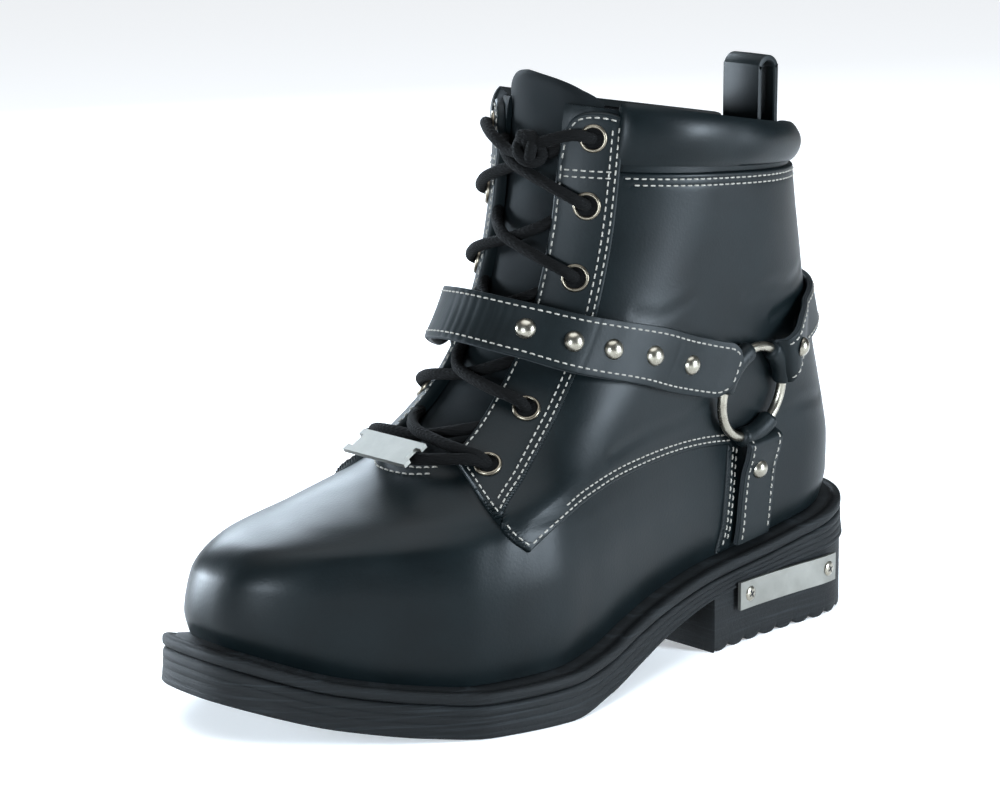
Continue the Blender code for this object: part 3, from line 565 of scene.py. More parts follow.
@dataclass(frozen=True)
class WovenCloth(Finish):
    """Woven polyester: two sets of threads crossing, matt, drawn coarser than life so that they show."""

    thread_mm: float = 0.8
    depth_mm: float = 0.3

    def make(self) -> bpy.types.Material:
        """Cloth with crossing threads.

        Returns:
            The material.
        """
        material, tree = self.start()
        warp, weft = (threads(tree, self.thread_mm, axis, 0.6, 1.0) for axis in ("Z", "DIAGONAL"))
        weave = add_node(tree, "ShaderNodeMath", {"operation": "MULTIPLY"}, _0=warp, _1=weft).outputs[0]
        bump(tree, weave, 0.7, self.depth_mm)
        return material


@dataclass(frozen=True)
class PlatedMetal(Finish):
    """Nickel-plated or antiqued metal: bright, with soft handling marks and darker hollows."""

    mark_mm: float = 6.0
    dark: str = "6e695f"
    shine_range: tuple[float, float] = (-0.08, 0.12)

    def make(self) -> bpy.types.Material:
        """Metal with slow changes of tone and shine.

        Returns:
            The material.
        """
        material, tree = self.start()
        marks = noise(tree, self.mark_mm, 8.0, 0.65)
        tint(tree, self.dark, self.colour, marks)
        shine(tree, *(self.roughness + change for change in self.shine_range), marks)
        return material


@dataclass(frozen=True)
class TwistedThread(Finish):
    """Bonded polyester sewing thread: pale, with a twist drawn coarser than life so that it shows."""

    twist_mm: float = 0.7
    depth_mm: float = 0.3

    def make(self) -> bpy.types.Material:
        """Thread with its twist drawn as fine ridges.

        Returns:
            The material.
        """
        material, tree = self.start()
        bump(tree, threads(tree, self.twist_mm, "DIAGONAL", 1.0), 0.8, self.depth_mm)
        return material


# The last


@dataclass(frozen=True)
class Last:
    """The form that the upper is pulled over, and the sole's outline below it."""

    sole_length: float = 306.0
    toe_swing: tuple[float, float] = (17.0, 190.0)
    heel_round: tuple[float, float] = (40.0, 2.2)
    toe_round: tuple[float, float] = (78.0, 2.44)
    feather_gap: float = 0.45
    feather_fade: tuple[float, float] = (0.55, 1.5)
    swing_fade: float = 0.8
    back_power: float = 2.15
    foot_columns: tuple[str, ...] = ("from_heel", "lateral", "medial", "top", "under")
    foot_rows: tuple = (
        (0.0, 37.0, 37.0, 47.7, 30.0), (40.0, 37.0, 37.0, 40.5, 26.8), (70.0, 38.5, 35.0, 36.2, 24.3),
        (100.0, 42.3, 33.0, 33.7, 21.8), (130.0, 48.5, 34.5, 29.6, 16.1), (150.0, 53.6, 37.5, 25.6, 10.3),
        (175.0, 60.5, 43.0, 19.8, 3.6), (198.0, 65.0, 48.5, 17.6, 0.0), (230.0, 61.6, 53.5, 17.0, 0.0),
        (252.0, 53.6, 55.4, 18.9, 1.7), (275.0, 45.6, 56.4, 22.7, 5.4), (306.0, 42.0, 54.5, 33.3, 14.7))
    columns: tuple[str, ...] = ("up", "back_x", "back_z", "front_x", "front_z", "foot_share", "inset",
                                "shaft_half", "back_round", "front_round", "front_power")
    rows: tuple = (
        (0.00, 10, 46, 298, 31, 1.00, 9.5, 35, 34, 74, 2.35),
        (0.08, 7, 58, 301, 42, 1.00, 7.5, 36, 35, 76, 2.40),
        (0.17, 7, 71, 299, 56, 1.00, 7.0, 36, 36, 78, 2.40),
        (0.26, 9, 84, 289, 69, 0.92, 7.5, 36, 38, 80, 2.30),
        (0.35, 12, 96, 268, 75, 0.80, 8.0, 37, 40, 82, 2.20),
        (0.45, 16, 109, 239, 82, 0.62, 8.0, 38, 43, 78, 2.10),
        (0.55, 20, 122, 213, 95, 0.42, 8.0, 39, 46, 72, 2.10),
        (0.65, 25, 137, 191, 114, 0.24, 8.0, 40, 49, 66, 2.00),
        (0.75, 29, 153, 175, 138, 0.10, 8.0, 41, 51, 60, 2.00),
        (0.87, 34, 174, 164, 172, 0.00, 8.0, 43, 55, 58, 2.00),
        (1.00, 38, 196, 158, 216, 0.00, 8.0, 46, 58, 58, 2.00),
        (1.15, 41, 214, 153, 240, 0.00, 8.0, 49, 60, 58, 2.00))
    zip_from_heel: tuple[float, float] = (92.5, 12.5)
    zip_gap: float = 10.5

    def foot(self, column: str, x: Array) -> Array:
        """A column of the sole's table at a distance from the heel."""
        table = np.array(self.foot_rows, float)
        return smooth(table[:, 0], table[:, self.foot_columns.index(column)], x)

    def swing(self, x: Array) -> Array:
        """Sideways shift of the toe's middle line."""
        t = np.clip((x - self.toe_swing[1]) / (self.sole_length - self.toe_swing[1]), 0, 1)
        return -self.toe_swing[0] * t * t

    def sole_edge(self, x: Array, side: int) -> Array:
        """Sideways place of the sole's edge on the lateral (1) or medial (-1) side."""
        half = self.foot("lateral" if side > 0 else "medial", x)
        ends = end_round(x, *self.heel_round) * end_round(self.sole_length - x, *self.toe_round)
        return self.swing(x) + side * half * ends

    def skin(self, around: Array, up: Array) -> Array:
        """Points of the last's surface, the outside of the upper's wall.

        Args:
            around: place round the boot, 0 at the back, 1 at the front, negative on the medial side.
            up: place between the feather line (0) and the collar (1).

        Returns:
            Points in millimetres.
        """
        around, up = np.broadcast_arrays(np.asarray(around, float), np.asarray(up, float))
        turn = (around + 1) % 2 - 1
        table = np.array(self.rows, float)
        row = {name: smooth(table[:, 0], table[:, i], up) for i, name in enumerate(self.columns)}
        share = (1 - np.cos(np.pi * np.abs(turn))) / 2
        x = row["back_x"] + (row["front_x"] - row["back_x"]) * share
        width = np.where(turn >= 0, self.foot("lateral", x), self.foot("medial", x))
        half = row["foot_share"] * (width - row["inset"]) + (1 - row["foot_share"]) * row["shaft_half"]
        half = half * end_round(x - row["back_x"], row["back_round"], self.back_power)
        half = half * end_round(row["front_x"] - x, row["front_round"], row["front_power"])
        straight = row["back_z"] + (row["front_z"] - row["back_z"]) * share
        low = table[0]
        low_line = low[2] + (low[4] - low[2]) * np.clip((x - low[1]) / (low[3] - low[1]), 0, 1)
        fade = np.clip(1 - up / self.feather_fade[0], 0, 1) ** self.feather_fade[1]
        z = straight + fade * (self.foot("top", x) + self.feather_gap - low_line)
        y = self.swing(x) * np.clip(1 - up / self.swing_fade, 0, 1) + np.where(turn >= 0, half, -half)
        return np.stack([x, y, z], -1)

    def slopes(self, around: Array, up: Array) -> tuple[Array, Array]:
        """Change of place for each unit of around and of up.

        Args:
            around: places round the boot.
            up: places up the boot.

        Returns:
            The change with around, and the change with up.
        """
        small = 2e-3
        around, up = np.asarray(around, float), np.asarray(up, float)
        low = np.maximum(up - small, 0)
        along = (self.skin(around + small, up) - self.skin(around - small, up)) / (2 * small)
        rise = (self.skin(around, up + small) - self.skin(around, low)) / (up + small - low)[..., None]
        return along, rise

    def normal(self, around: Array, up: Array) -> Array:
        """Outward directions on the last."""
        along, rise = self.slopes(around, up)
        return unit(np.cross(rise, along))

    def lifted(self, around: Array, up: Array, lift: Array) -> Array:
        """Points at a height over the last.

        Args:
            around: places round the boot.
            up: places up the boot.
            lift: height over the surface.

        Returns:
            Points in millimetres.
        """
        around, up, lift = np.broadcast_arrays(*(np.asarray(v, float) for v in (around, up, lift)))
        return self.skin(around, up) + self.normal(around, up) * lift[..., None]

    def up_at(self, around: Array, height: Array) -> Array:
        """The up value at which the last reaches a height, by halving.

        Args:
            around: places round the boot.
            height: heights from the floor.

        Returns:
            The up values.
        """
        around, height = np.broadcast_arrays(np.asarray(around, float), np.asarray(height, float))
        low, high = np.zeros(around.shape), np.full(around.shape, self.rows[-1][0])
        for _ in range(30):
            middle = (low + high) / 2
            below = self.skin(around, middle)[..., 2] < height
            low, high = np.where(below, middle, low), np.where(below, high, middle)
        return (low + high) / 2

    def around_at(self, x: Array, up: Array) -> Array:
        """The around value on the lateral side at a distance from the heel.

        Args:
            x: distances from the heel.
            up: places up the boot.

        Returns:
            The around values.
        """
        table = np.array(self.rows, float)
        back, front = (smooth(table[:, 0], table[:, i], up) for i in (1, 3))
        return np.arccos(1 - 2 * (x - back) / (front - back)) / math.pi

    def zip_around(self, up: Array, shift: Array) -> Array:
        """Around values of the zip's line moved to the front by shift, as if on the lateral side."""
        return self.around_at(self.zip_from_heel[0] + self.zip_from_heel[1] * up + shift, up)

    def moved(self, line: Array, shift: Array) -> Array:
        """Around and up pairs moved by shifts given in millimetres.

        Args:
            line: pairs of around and up.
            shift: 3-D shift at each pair, along the surface.

        Returns:
            The moved pairs.
        """
        along, rise = self.slopes(line[:, 0], line[:, 1])
        aa, au, uu = ((along * along).sum(1), (along * rise).sum(1), (rise * rise).sum(1))
        wa, wu = (shift * along).sum(1), (shift * rise).sum(1)
        det = aa * uu - au * au
        return line + np.stack([(uu * wa - au * wu) / det, (aa * wu - au * wa) / det], 1)

    def sideways(self, line: Array, distance: float, closed: bool = False) -> Array:
        """A line on the surface moved to its left by a distance, seen from outside.

        Args:
            line: pairs of around and up.
            distance: how far to move, in millimetres.
            closed: whether the line is a loop.

        Returns:
            The moved pairs.
        """
        points = self.skin(line[:, 0], line[:, 1])
        tangent = np.roll(points, -1, 0) - np.roll(points, 1, 0)
        if not closed:
            tangent[0], tangent[-1] = points[1] - points[0], points[-1] - points[-2]
        left = unit(np.cross(self.normal(line[:, 0], line[:, 1]), tangent))
        return self.moved(line, left * distance)


LAST = Last()


# Sewing


@dataclass
class Stitching:
    """Rows of stitches, gathered as one piece."""

    name: str
    finish: Finish
    pitch: float = 3.1
    length: float = 2.35
    radius: float = 0.32
    sides: int = 6
    # Share of a stitch's length, rise over the surface and share of the radius there
    shape: tuple = ((0.0, -0.45, 0.5), (0.16, 0.12, 0.95), (0.5, 0.24, 1.0), (0.84, 0.12, 0.95),
                    (1.0, -0.45, 0.5))
    parts: list = field(default_factory=list)

    def sew(self, path: Array, normals: Array) -> None:
        """Add a row of stitches along a path on a surface.

        Args:
            path: points of the row, in millimetres.
            normals: outward directions at the points.
        """
        length = lengths(path)
        count = int(length[-1] / self.pitch)
        if count < 1:
            return
        start = (length[-1] - count * self.pitch) / 2 + np.arange(count) * self.pitch
        share, rise, swell = np.array(self.shape).T
        at = start[:, None] + (self.pitch - self.length) / 2 + share * self.length
        centre = read_at(at, length, path)
        out = unit(read_at(at, length, normals))
        side = unit(np.cross(out, (centre[:, -1] - centre[:, 0])[:, None]))
        centre = centre + out * rise[:, None]
        turn = np.linspace(0, 2 * math.pi, self.sides, endpoint=False)
        ring = np.cos(turn)[:, None] * side[..., None, :] + np.sin(turn)[:, None] * out[..., None, :]
        points = centre[..., None, :] + ring * (self.radius * swell)[:, None, None]
        faces = capped(len(share), self.sides)
        self.parts += [(stitch, faces) for stitch in points.reshape(count, -1, 3)]

    def on_last(self, line: Array, lift: float) -> None:
        """Add a row along around and up pairs at a height over the last."""
        line = np.asarray(line, float)
        self.sew(LAST.lifted(line[:, 0], line[:, 1], lift), LAST.normal(line[:, 0], line[:, 1]))

    def build(self) -> bpy.types.Object:
        """Make the piece."""
        return piece_from(self.name, *merged(self.parts), self.finish.make(), None)


def inside(points: Array, outline: Array) -> Array:
    """Which points lie within a closed outline.

    Args:
        points: pairs to test.
        outline: corners of the outline.

    Returns:
        A true or false value for each point.
    """
    x, y = points[:, 0][:, None], points[:, 1][:, None]
    x0, y0 = outline[:, 0], outline[:, 1]
    x1, y1 = np.roll(x0, -1), np.roll(y0, -1)
    crosses = (y0 > y) != (y1 > y)
    slope = (x1 - x0) / np.where(y1 == y0, 1e-12, y1 - y0)
    return (np.sum(crosses & (x < x0 + (y - y0) * slope), axis=1) % 2) == 1


def nearest(points: Array, line: Array) -> Array:
    """Distance from each point to the nearest point of a line.

    Args:
        points: where to measure from.
        line: points of the line.

    Returns:
        The distance of each point.
    """
    best = np.full(len(points), np.inf)
    chunk = 200
    for start in range(0, len(line), chunk):
        gap = points[:, None] - line[None, start:start + chunk]
        best = np.minimum(best, np.sqrt((gap ** 2).sum(-1)).min(1))
    return best


@dataclass
class Panel:
    """A leather piece sewn flat on the upper: an outline of edges, each with its rows of stitches."""

    name: str
    edges: Sequence[tuple[Array, Sequence[float]]]
    thick: float
    step: float = 2.4
    edge_round: float = 1.0
    edge_rings: tuple[float, ...] = (0.15, 0.4, 0.8, 1.3)
    row_half: float = 0.5
    last_ring: float = 1.2
    outline_step: float = 1.4
    groove: float = 0.16
    groove_half: float = 0.55
    buried: float = 0.5
    creases: Sequence[tuple[Array, float, float]] = ()
    replaced: Sequence[str] = ()

    def outline(self) -> Array:
        """The whole outline as around and up pairs, at an even step.

        Returns:
            The pairs in order, without a repeated corner.
        """
        lines = []
        for line, _ in self.edges:
            length = lengths(LAST.skin(line[:, 0], line[:, 1]))
            at = np.linspace(0, length[-1], max(2, int(round(length[-1] / self.outline_step)) + 1))[:-1]
            lines.append(read_at(at, length, line))
        return np.vstack(lines)

    def rows(self) -> list[float]:
        """Distances of every stitch row from the edge."""
        return sorted({d for _, distances in self.edges for d in distances})

    def lift(self, points: Array, distance: Array) -> Array:
        """Height of the face over the last, rounded at the edge and drawn in along the stitch rows.

        Args:
            points: places on the last.
            distance: how far each lies from the outline.

        Returns:
            The height at each place.
        """
        def gap_to(line: Array) -> Array:
            """Distance of each point from a line on the last."""
            spots = even_on_last(line, 0.8)
            return nearest(points, LAST.skin(spots[:, 0], spots[:, 1]))

        q = np.clip(1 - distance / self.edge_round, 0, 1)
        face = SEAT + self.thick * np.sqrt(np.clip(1 - q * q, 0, 1))
        for line, rows in self.edges:
            gap = gap_to(line) if rows else distance
            for row in rows:
                face = face - self.groove * np.exp(-((gap - row) / self.groove_half) ** 2)
        for line, width, depth in self.creases:
            gap = gap_to(line)
            swell = 0.45 * np.exp(-((gap - 1.7 * width) / width) ** 2)
            face = face + depth * (swell - np.exp(-(gap / width) ** 2))
        return face

    def spread(self, outline: Array, border: Array, inward: int) -> tuple[Array, list]:
        """Spread points over the piece, close together at its edge and its rows, and join them.

        Args:
            outline: around and up pairs of its edge.
            border: the same places in millimetres.
            inward: side of the outline that the piece lies on.

        Returns:
            Around and up pairs, and the faces between them.
        """
        along, rise = LAST.slopes(outline[:, 0], outline[:, 1])
        scale = np.array([np.linalg.norm(along, axis=1).mean(), np.linalg.norm(rise, axis=1).mean()])
        rings = [outline]
        insets = list(self.edge_rings)
        for row in self.rows():
            insets += [row - self.row_half, row, row + self.row_half]
        insets.append(max(insets) + self.last_ring)
        for distance in insets:
            ring = LAST.sideways(outline, inward * distance, True)
            gap = nearest(LAST.skin(ring[:, 0], ring[:, 1]), border)
            rings.append(ring[(gap > 0.95 * distance) & inside(ring, outline)])
        low, high = outline.min(0), outline.max(0)
        counts = np.maximum(((high - low) * scale / self.step).astype(int), 2)
        grid = np.stack(np.meshgrid(*(np.linspace(low[k], high[k], counts[k]) for k in range(2))), -1)
        grid = grid.reshape(-1, 2)
        grid = grid[inside(grid, outline)]
        gap = nearest(LAST.skin(grid[:, 0], grid[:, 1]), border)
        grid = grid[gap > max(insets) + 0.5 * self.step]
        flat = np.vstack([*rings, grid]) * scale
        result = delaunay_2d_cdt([Vector(p) for p in flat], [], [list(range(len(outline)))], 1, 1e-4)
        return np.array([tuple(v) for v in result[0]]) / scale, [tuple(f) for f in result[2]]

    def sew(self, border: Array, inward: int, stitching: Stitching) -> None:
        """Sew the rows of every edge.

        Args:
            border: places of the outline in millimetres.
            inward: side of the outline that the piece lies on.
            stitching: the group that takes the stitches.
        """
        for line, distances in self.edges:
            for row in distances:
                path = LAST.sideways(even_on_last(line, 1.0), inward * row)
                path = path[nearest(LAST.skin(path[:, 0], path[:, 1]), border) > row - 0.35]
                if len(path) > 3:
                    stitching.on_last(path, SEAT + self.thick - self.groove)

    def build(self, finish: bpy.types.Material, stitching: Stitching) -> None:
        """Make the piece and sew its rows.

        Args:
            finish: its leather.
            stitching: the group that takes its stitches.
        """
        outline = self.outline()
        following = np.roll(outline, -1, 0)
        area = np.sum(outline[:, 0] * following[:, 1] - following[:, 0] * outline[:, 1])
        inward = (1 if area > 0 else -1) * self.handed()
        border = LAST.skin(outline[:, 0], outline[:, 1])
        pairs, faces = self.spread(outline, border, inward)
        spots = LAST.skin(pairs[:, 0], pairs[:, 1])
        top = LAST.lifted(pairs[:, 0], pairs[:, 1], self.lift(spots, nearest(spots, border)))
        bottom = LAST.lifted(pairs[:, 0], pairs[:, 1], SEAT - self.buried)
        faces = faces if self.handed() > 0 else turned_over(faces)
        piece_from(self.name, *closed_sheet(top, bottom, faces), finish, Slot.LEATHER, self.replaced)
        self.sew(border, inward, stitching)

    def handed(self) -> int:
        """Which way around and up turn on the surface, seen from outside.

        Returns:
            1 where they turn left, else -1.
        """
        line = self.edges[0][0]
        along, rise = LAST.slopes(line[:1, 0], line[:1, 1])
        middle = np.cross(along, rise)[0]
        return 1 if middle @ LAST.normal(line[:1, 0], line[:1, 1])[0] > 0 else -1


def even_on_last(line: Array, step: float) -> Array:
    """A line on the last at an even step.

    Args:
        line: around and up pairs.
        step: spacing in millimetres.

    Returns:
        Around and up pairs from its first to its last.
    """
    length = lengths(LAST.skin(line[:, 0], line[:, 1]))
    at = np.linspace(0, length[-1], max(2, int(length[-1] / step)))
    return read_at(at, length, line)


def spline(*points: tuple[float, float]) -> Array:
    """A smooth line of around and up pairs through points."""
    return rounded_line(np.array(points, float), PAIR_STEP)


def straight(*points: tuple[float, float]) -> Array:
    """A line of around and up pairs with corners at the points."""
    return even(np.array(points, float), PAIR_STEP)


def medial(line: Array) -> Array:
    """The same line on the medial side."""
    return line * np.array([-1.0, 1.0])


def mirrored(rows: Sequence[tuple]) -> list[tuple]:
    """Rows that start with a line, with that line on the medial side."""
    return [(medial(line), *rest) for line, *rest in rows]


# Sub-assemblies


@dataclass
class Upper:
    """The lasted wall with its cloth lining, and the sewn pieces on it."""

    wall: float = 2.2
    throat_edge: float = 0.895
    throat_low: float = 0.53
    overlay: float = 1.3
    eyestay_thick: float = 2.2
    backstay_thick: float = 1.8
    columns: tuple = ((0.895, 130), (1.0, 12))
    up_rows: tuple = ((0.53, 70), (1.0, 52))
    # Where the collar's edge starts to round, how far up that runs and how deep
    brim: tuple[float, float, float] = (0.975, 0.025, 0.7)
    # Edges of the quarters: at the backstay, at the sole and under the collar
    quarter_back: float = 0.085
    quarter_foot: float = 0.006
    quarter_top: float = 0.926
    # Distances of stitch rows from an edge
    single: tuple[float, ...] = (2.0,)
    pair: tuple[float, ...] = (2.0, 4.3)
    top_pair: tuple[float, ...] = (2.2, 4.6)
    # Height of stitches on the wall itself
    on_wall: float = 0.1
    # Place along x and z, width and depth of each crease where the toes bend
    flexes: tuple = ((226, 3.0, 0.28), (236, 3.6, 0.34), (247, 3.2, 0.22))
    # Line, width and depth of each wrinkle of the quarters
    wrinkles: tuple = (
        (spline((0.16, 0.640), (0.21, 0.625), (0.27, 0.640), (0.33, 0.632)), 2.0, 0.30),
        (spline((0.13, 0.575), (0.19, 0.560), (0.25, 0.572)), 1.8, 0.34),
        (spline((0.22, 0.700), (0.28, 0.690), (0.34, 0.705), (0.41, 0.700)), 2.4, 0.22),
        (spline((0.40, 0.455), (0.46, 0.440), (0.53, 0.452), (0.59, 0.440)), 2.4, 0.24),
        (spline((0.55, 0.735), (0.61, 0.722), (0.67, 0.735)), 2.4, 0.20),
        (spline((0.15, 0.300), (0.21, 0.315), (0.27, 0.305)), 2.4, 0.22))

    @staticmethod
    def divided(table: Sequence[tuple[float, int]]) -> Array:
        """Values from 0 through the table's stops.

        Args:
            table: each stop, and the count of steps up to it.

        Returns:
            The values in order.
        """
        values = [0.0]
        for stop, steps in table:
            values += list(np.linspace(values[-1], stop, steps + 1)[1:])
        return np.array(values)

    def softness(self, points: Array) -> Array:
        """Slow waves and the flex creases of the vamp.

        Args:
            points: places on the last.

        Returns:
            The lift at each place.
        """
        x, y, z = points[..., 0], points[..., 1], points[..., 2]
        waves = 0.16 * np.sin(x / 17 + z / 23) * np.sin(y / 15 + 1.3) + 0.12 * np.sin(z / 11 + x / 37)
        flex = sum(-depth * np.exp(-((x + 0.35 * z - at) / width) ** 2) * np.clip((z - 45) / 30, 0, 1)
                   for at, width, depth in self.flexes)
        return waves + flex * (x > 150)

    def build(self, leather: bpy.types.Material, cloth: bpy.types.Material) -> None:
        """Make the wall: leather outside, lining inside.

        Args:
            leather: finish of the outside.
            cloth: finish of the lining.
        """
        half = self.divided(self.columns)
        around = np.concatenate([half, 2 - half[-2:0:-1]])
        ups = self.divided(self.up_rows)
        grid_around, grid_up = np.meshgrid(around, ups)
        skin = LAST.skin(grid_around, grid_up)
        start, run, depth = self.brim
        brim = depth * np.clip((grid_up - start) / run, 0, 1) ** 2
        top = LAST.lifted(grid_around, grid_up, self.softness(skin) - brim)
        bottom = LAST.lifted(grid_around, grid_up, -self.wall + brim)
        count = len(around)
        faces = []
        for j in range(len(ups) - 1):
            for i in range(count):
                in_throat = (self.throat_edge <= around[i] + 1e-9 < 2 - self.throat_edge
                             and ups[j] + 1e-9 >= self.throat_low)
                if not in_throat:
                    k = (i + 1) % count
                    faces.append((j * count + i, (j + 1) * count + i, (j + 1) * count + k, j * count + k))
        points, solid = closed_sheet(top.reshape(-1, 3), bottom.reshape(-1, 3), faces)
        used = np.unique(np.concatenate([np.array(f) for f in solid]))
        renumber = np.full(len(points), -1)
        renumber[used] = np.arange(len(used))
        piece = piece_from("upper_leather", points[used], [tuple(renumber[list(f)]) for f in solid], leather,
                           Slot.LEATHER, ["upper"])
        piece.data.materials.append(cloth)
        inner = np.zeros(len(solid), int)
        inner[len(faces):2 * len(faces)] = 1
        piece.data.polygons.foreach_set("material_index", inner)

    def panels(self) -> list[Panel]:
        """The sewn pieces: eyestays, quarters and backstay.

        Returns:
            The panels in the order in which they are made.
        """
        back, foot, top = self.quarter_back, self.quarter_foot, self.quarter_top
        stay_back = spline((0.702, 0.338), (0.716, 0.385), (0.730, 0.44), (0.745, 0.53), (0.749, 0.70),
                           (0.75, 0.85), (0.75, 0.990))
        stay_top = spline((0.75, 0.990), (0.79, 0.994), (0.832, 0.992), (0.864, 0.983), (0.886, 0.963),
                          (0.895, 0.935))
        stay_front = straight((0.895, 0.935), (0.895, 0.522))
        stay_low = spline((0.895, 0.522), (0.872, 0.512), (0.835, 0.485), (0.795, 0.448), (0.745, 0.393),
                          (0.702, 0.338))
        stay = [(stay_back, self.pair), (stay_top, self.single), (stay_front, self.single),
                (stay_low, self.single)]
        low_stops = ((0.458, 0.320), (0.54, 0.336), (0.585, 0.326), (0.612, 0.300), (0.640, 0.243))
        tip = spline((0.640, 0.243), (0.665, 0.279), (0.699, 0.332))
        front = spline((0.699, 0.332), (0.722, 0.385), (0.740, 0.44), (0.756, 0.53), (0.760, 0.70),
                       (0.760, 0.90), (0.760, top))
        rear = [(straight((back, top), (back, foot)), ())]
        lateral = rear + [
            (straight((back, foot), (0.352, foot)), ()),
            (spline((0.352, foot), (0.350, 0.08), (0.348, 0.18), (0.347, 0.270)), self.pair),
            (spline((0.347, 0.270), (0.40, 0.298), *low_stops), self.pair), (tip, self.single), (front, ()),
            (straight((0.760, top), (back, top)), self.top_pair)]
        zip_front, zip_rear = (self.beside_zip(shift) for shift in (LAST.zip_gap, -LAST.zip_gap))
        low_join = zip_front[np.argmin(np.abs(zip_front[:, 1] - 0.300))]
        medial_front = [
            (zip_front[zip_front[:, 1] >= low_join[1]][::-1], self.pair),
            (spline(tuple(low_join), *low_stops), self.pair), (tip, self.single), (front, ()),
            (straight((0.760, top), tuple(zip_front[-1])), self.top_pair)]
        rear_foot = (float(zip_rear[0, 0]), foot)
        medial_rear = rear + [
            (straight((back, foot), rear_foot), ()),
            (np.vstack([straight(rear_foot, tuple(zip_rear[0])), zip_rear[1:]]), self.pair),
            (straight(tuple(zip_rear[-1]), (back, top)), self.top_pair)]
        stay_edge = ((0.082, 0.99), (0.080, 0.7), (0.072, 0.5), (0.060, 0.3), (0.052, foot))
        backstay = [
            (spline(*stay_edge), self.pair), (straight((0.052, foot), (-0.052, foot)), ()),
            (spline(*((-around, up) for around, up in stay_edge[::-1])), self.pair),
            (straight((-0.082, 0.99), (0.082, 0.99)), ())]
        return [
            Panel("eyestay_leather_lateral", stay, self.eyestay_thick, replaced=["eyestay_lateral"]),
            Panel("eyestay_leather_medial", mirrored(stay), self.eyestay_thick, replaced=["eyestay_medial"]),
            Panel("quarter_leather_lateral", lateral, self.overlay, step=1.7, creases=self.wrinkles,
                  replaced=["quarter_lateral"]),
            Panel("quarter_leather_medial_front", mirrored(medial_front), self.overlay,
                  replaced=["quarter_medial_front"]),
            Panel("quarter_leather_medial_rear", mirrored(medial_rear), self.overlay, step=1.9,
                  creases=mirrored(self.wrinkles), replaced=["quarter_medial_rear"]),
            Panel("backstay_leather", backstay, self.backstay_thick, replaced=["backstay"])]

    def loose_rows(self, stitching: Stitching) -> None:
        """Rows that belong to no panel's edge: across the eyestays, at the tongue's foot and on the vamp.

        Args:
            stitching: the group that takes the stitches.
        """
        stay = SEAT + self.eyestay_thick - 0.1
        for flip in (lambda line: line, medial):
            for up in (0.9195, 0.926):
                stitching.on_last(flip(straight((0.765, up), (0.880, up))), stay)
        tongue_foot = ((0.905, 0.512), (0.95, 0.508), (1.05, 0.508), (1.095, 0.512))
        vamp_seam = ((0.655, 0.235), (0.640, 0.15), (0.628, 0.02))
        for gap in (0.0, 0.013):
            stitching.on_last(straight(*((around, up - gap) for around, up in tongue_foot)), self.on_wall)
            stitching.on_last(medial(spline(*((around + gap, up) for around, up in vamp_seam))), self.on_wall)

    @staticmethod
    def beside_zip(shift: float, low: float = 0.215, high: float = 0.926) -> Array:
        """A line beside the zip, as if on the lateral side."""
        up = np.linspace(low, high, 60)
        return np.stack([LAST.zip_around(up, shift), up], -1)


@dataclass
class Collar:
    """Three stuffed leather rolls round the top."""

    seam: float = 0.934
    top: float = 1.012
    bulge: float = 4.8
    columns: int = 90
    rows: int = 22
    # Around values of the lateral roll's ends
    back_end: float = 0.088
    front_end: float = 0.765

    def roll(self, name: str, rear: Curve, front: Curve, sign: int, leather: bpy.types.Material,
             replaced: str) -> bpy.types.Object:
        """One roll between a rear and a front edge.

        Args:
            name: the piece's name.
            rear: around value of its rear edge at each height.
            front: around value of its front edge.
            sign: 1 on the lateral side, -1 on the medial side.
            leather: its finish.
            replaced: the CAD node that it stands for.

        Returns:
            The new object.
        """
        share, rise = np.meshgrid(np.linspace(0, 1, self.columns), np.linspace(0, 1, self.rows))
        up = self.seam + rise * (self.top - self.seam)
        around = sign * (rear(up) + share * (front(up) - rear(up)))
        crown = np.sin(np.pi * np.clip(rise * 0.93 + 0.035, 0, 1)) ** 0.55
        ends = np.clip(np.minimum(share, 1 - share) / 0.06, 0, 1)
        ends = np.sqrt(1 - (1 - ends) ** 2)
        skin = LAST.skin(around, up)
        slack = 0.35 * np.sin(skin[..., 0] / 6.3 + 2 * rise) * np.sin(np.pi * rise)
        over = LAST.lifted(around, up, SEAT + (self.bulge * crown + slack) * (0.35 + 0.65 * ends))
        over[..., 2] += 3.0 * np.clip(rise - 0.75, 0, 1) * ends
        under = LAST.lifted(around, np.minimum(up, 0.999), -0.4 - 2.4 * rise ** 6)
        faces = grid_faces(self.rows, self.columns)
        faces = faces if sign < 0 else turned_over(faces)
        points, solid = closed_sheet(over.reshape(-1, 3), under.reshape(-1, 3), faces)
        piece = piece_from(name, points, solid, leather, Slot.LEATHER, [replaced])
        return piece

    def build(self, leather: bpy.types.Material) -> None:
        """Make the three rolls.

        Args:
            leather: their finish.
        """
        def level(value: float) -> Curve:
            """The same place round the boot at every height."""
            return lambda up: np.full(np.shape(up), value)

        def zip_side(shift: float) -> Curve:
            """The zip's line, moved to the front by shift."""
            return lambda up: LAST.zip_around(up, shift)

        rear, front = level(self.back_end), level(self.front_end)
        self.roll("collar_roll_lateral", rear, front, 1, leather, "collar_pad_lateral")
        self.roll("collar_roll_medial", rear, zip_side(-LAST.zip_gap), -1, leather, "collar_pad_medial")
        self.roll("collar_roll_front", zip_side(LAST.zip_gap), front, -1, leather, "collar_pad_front")


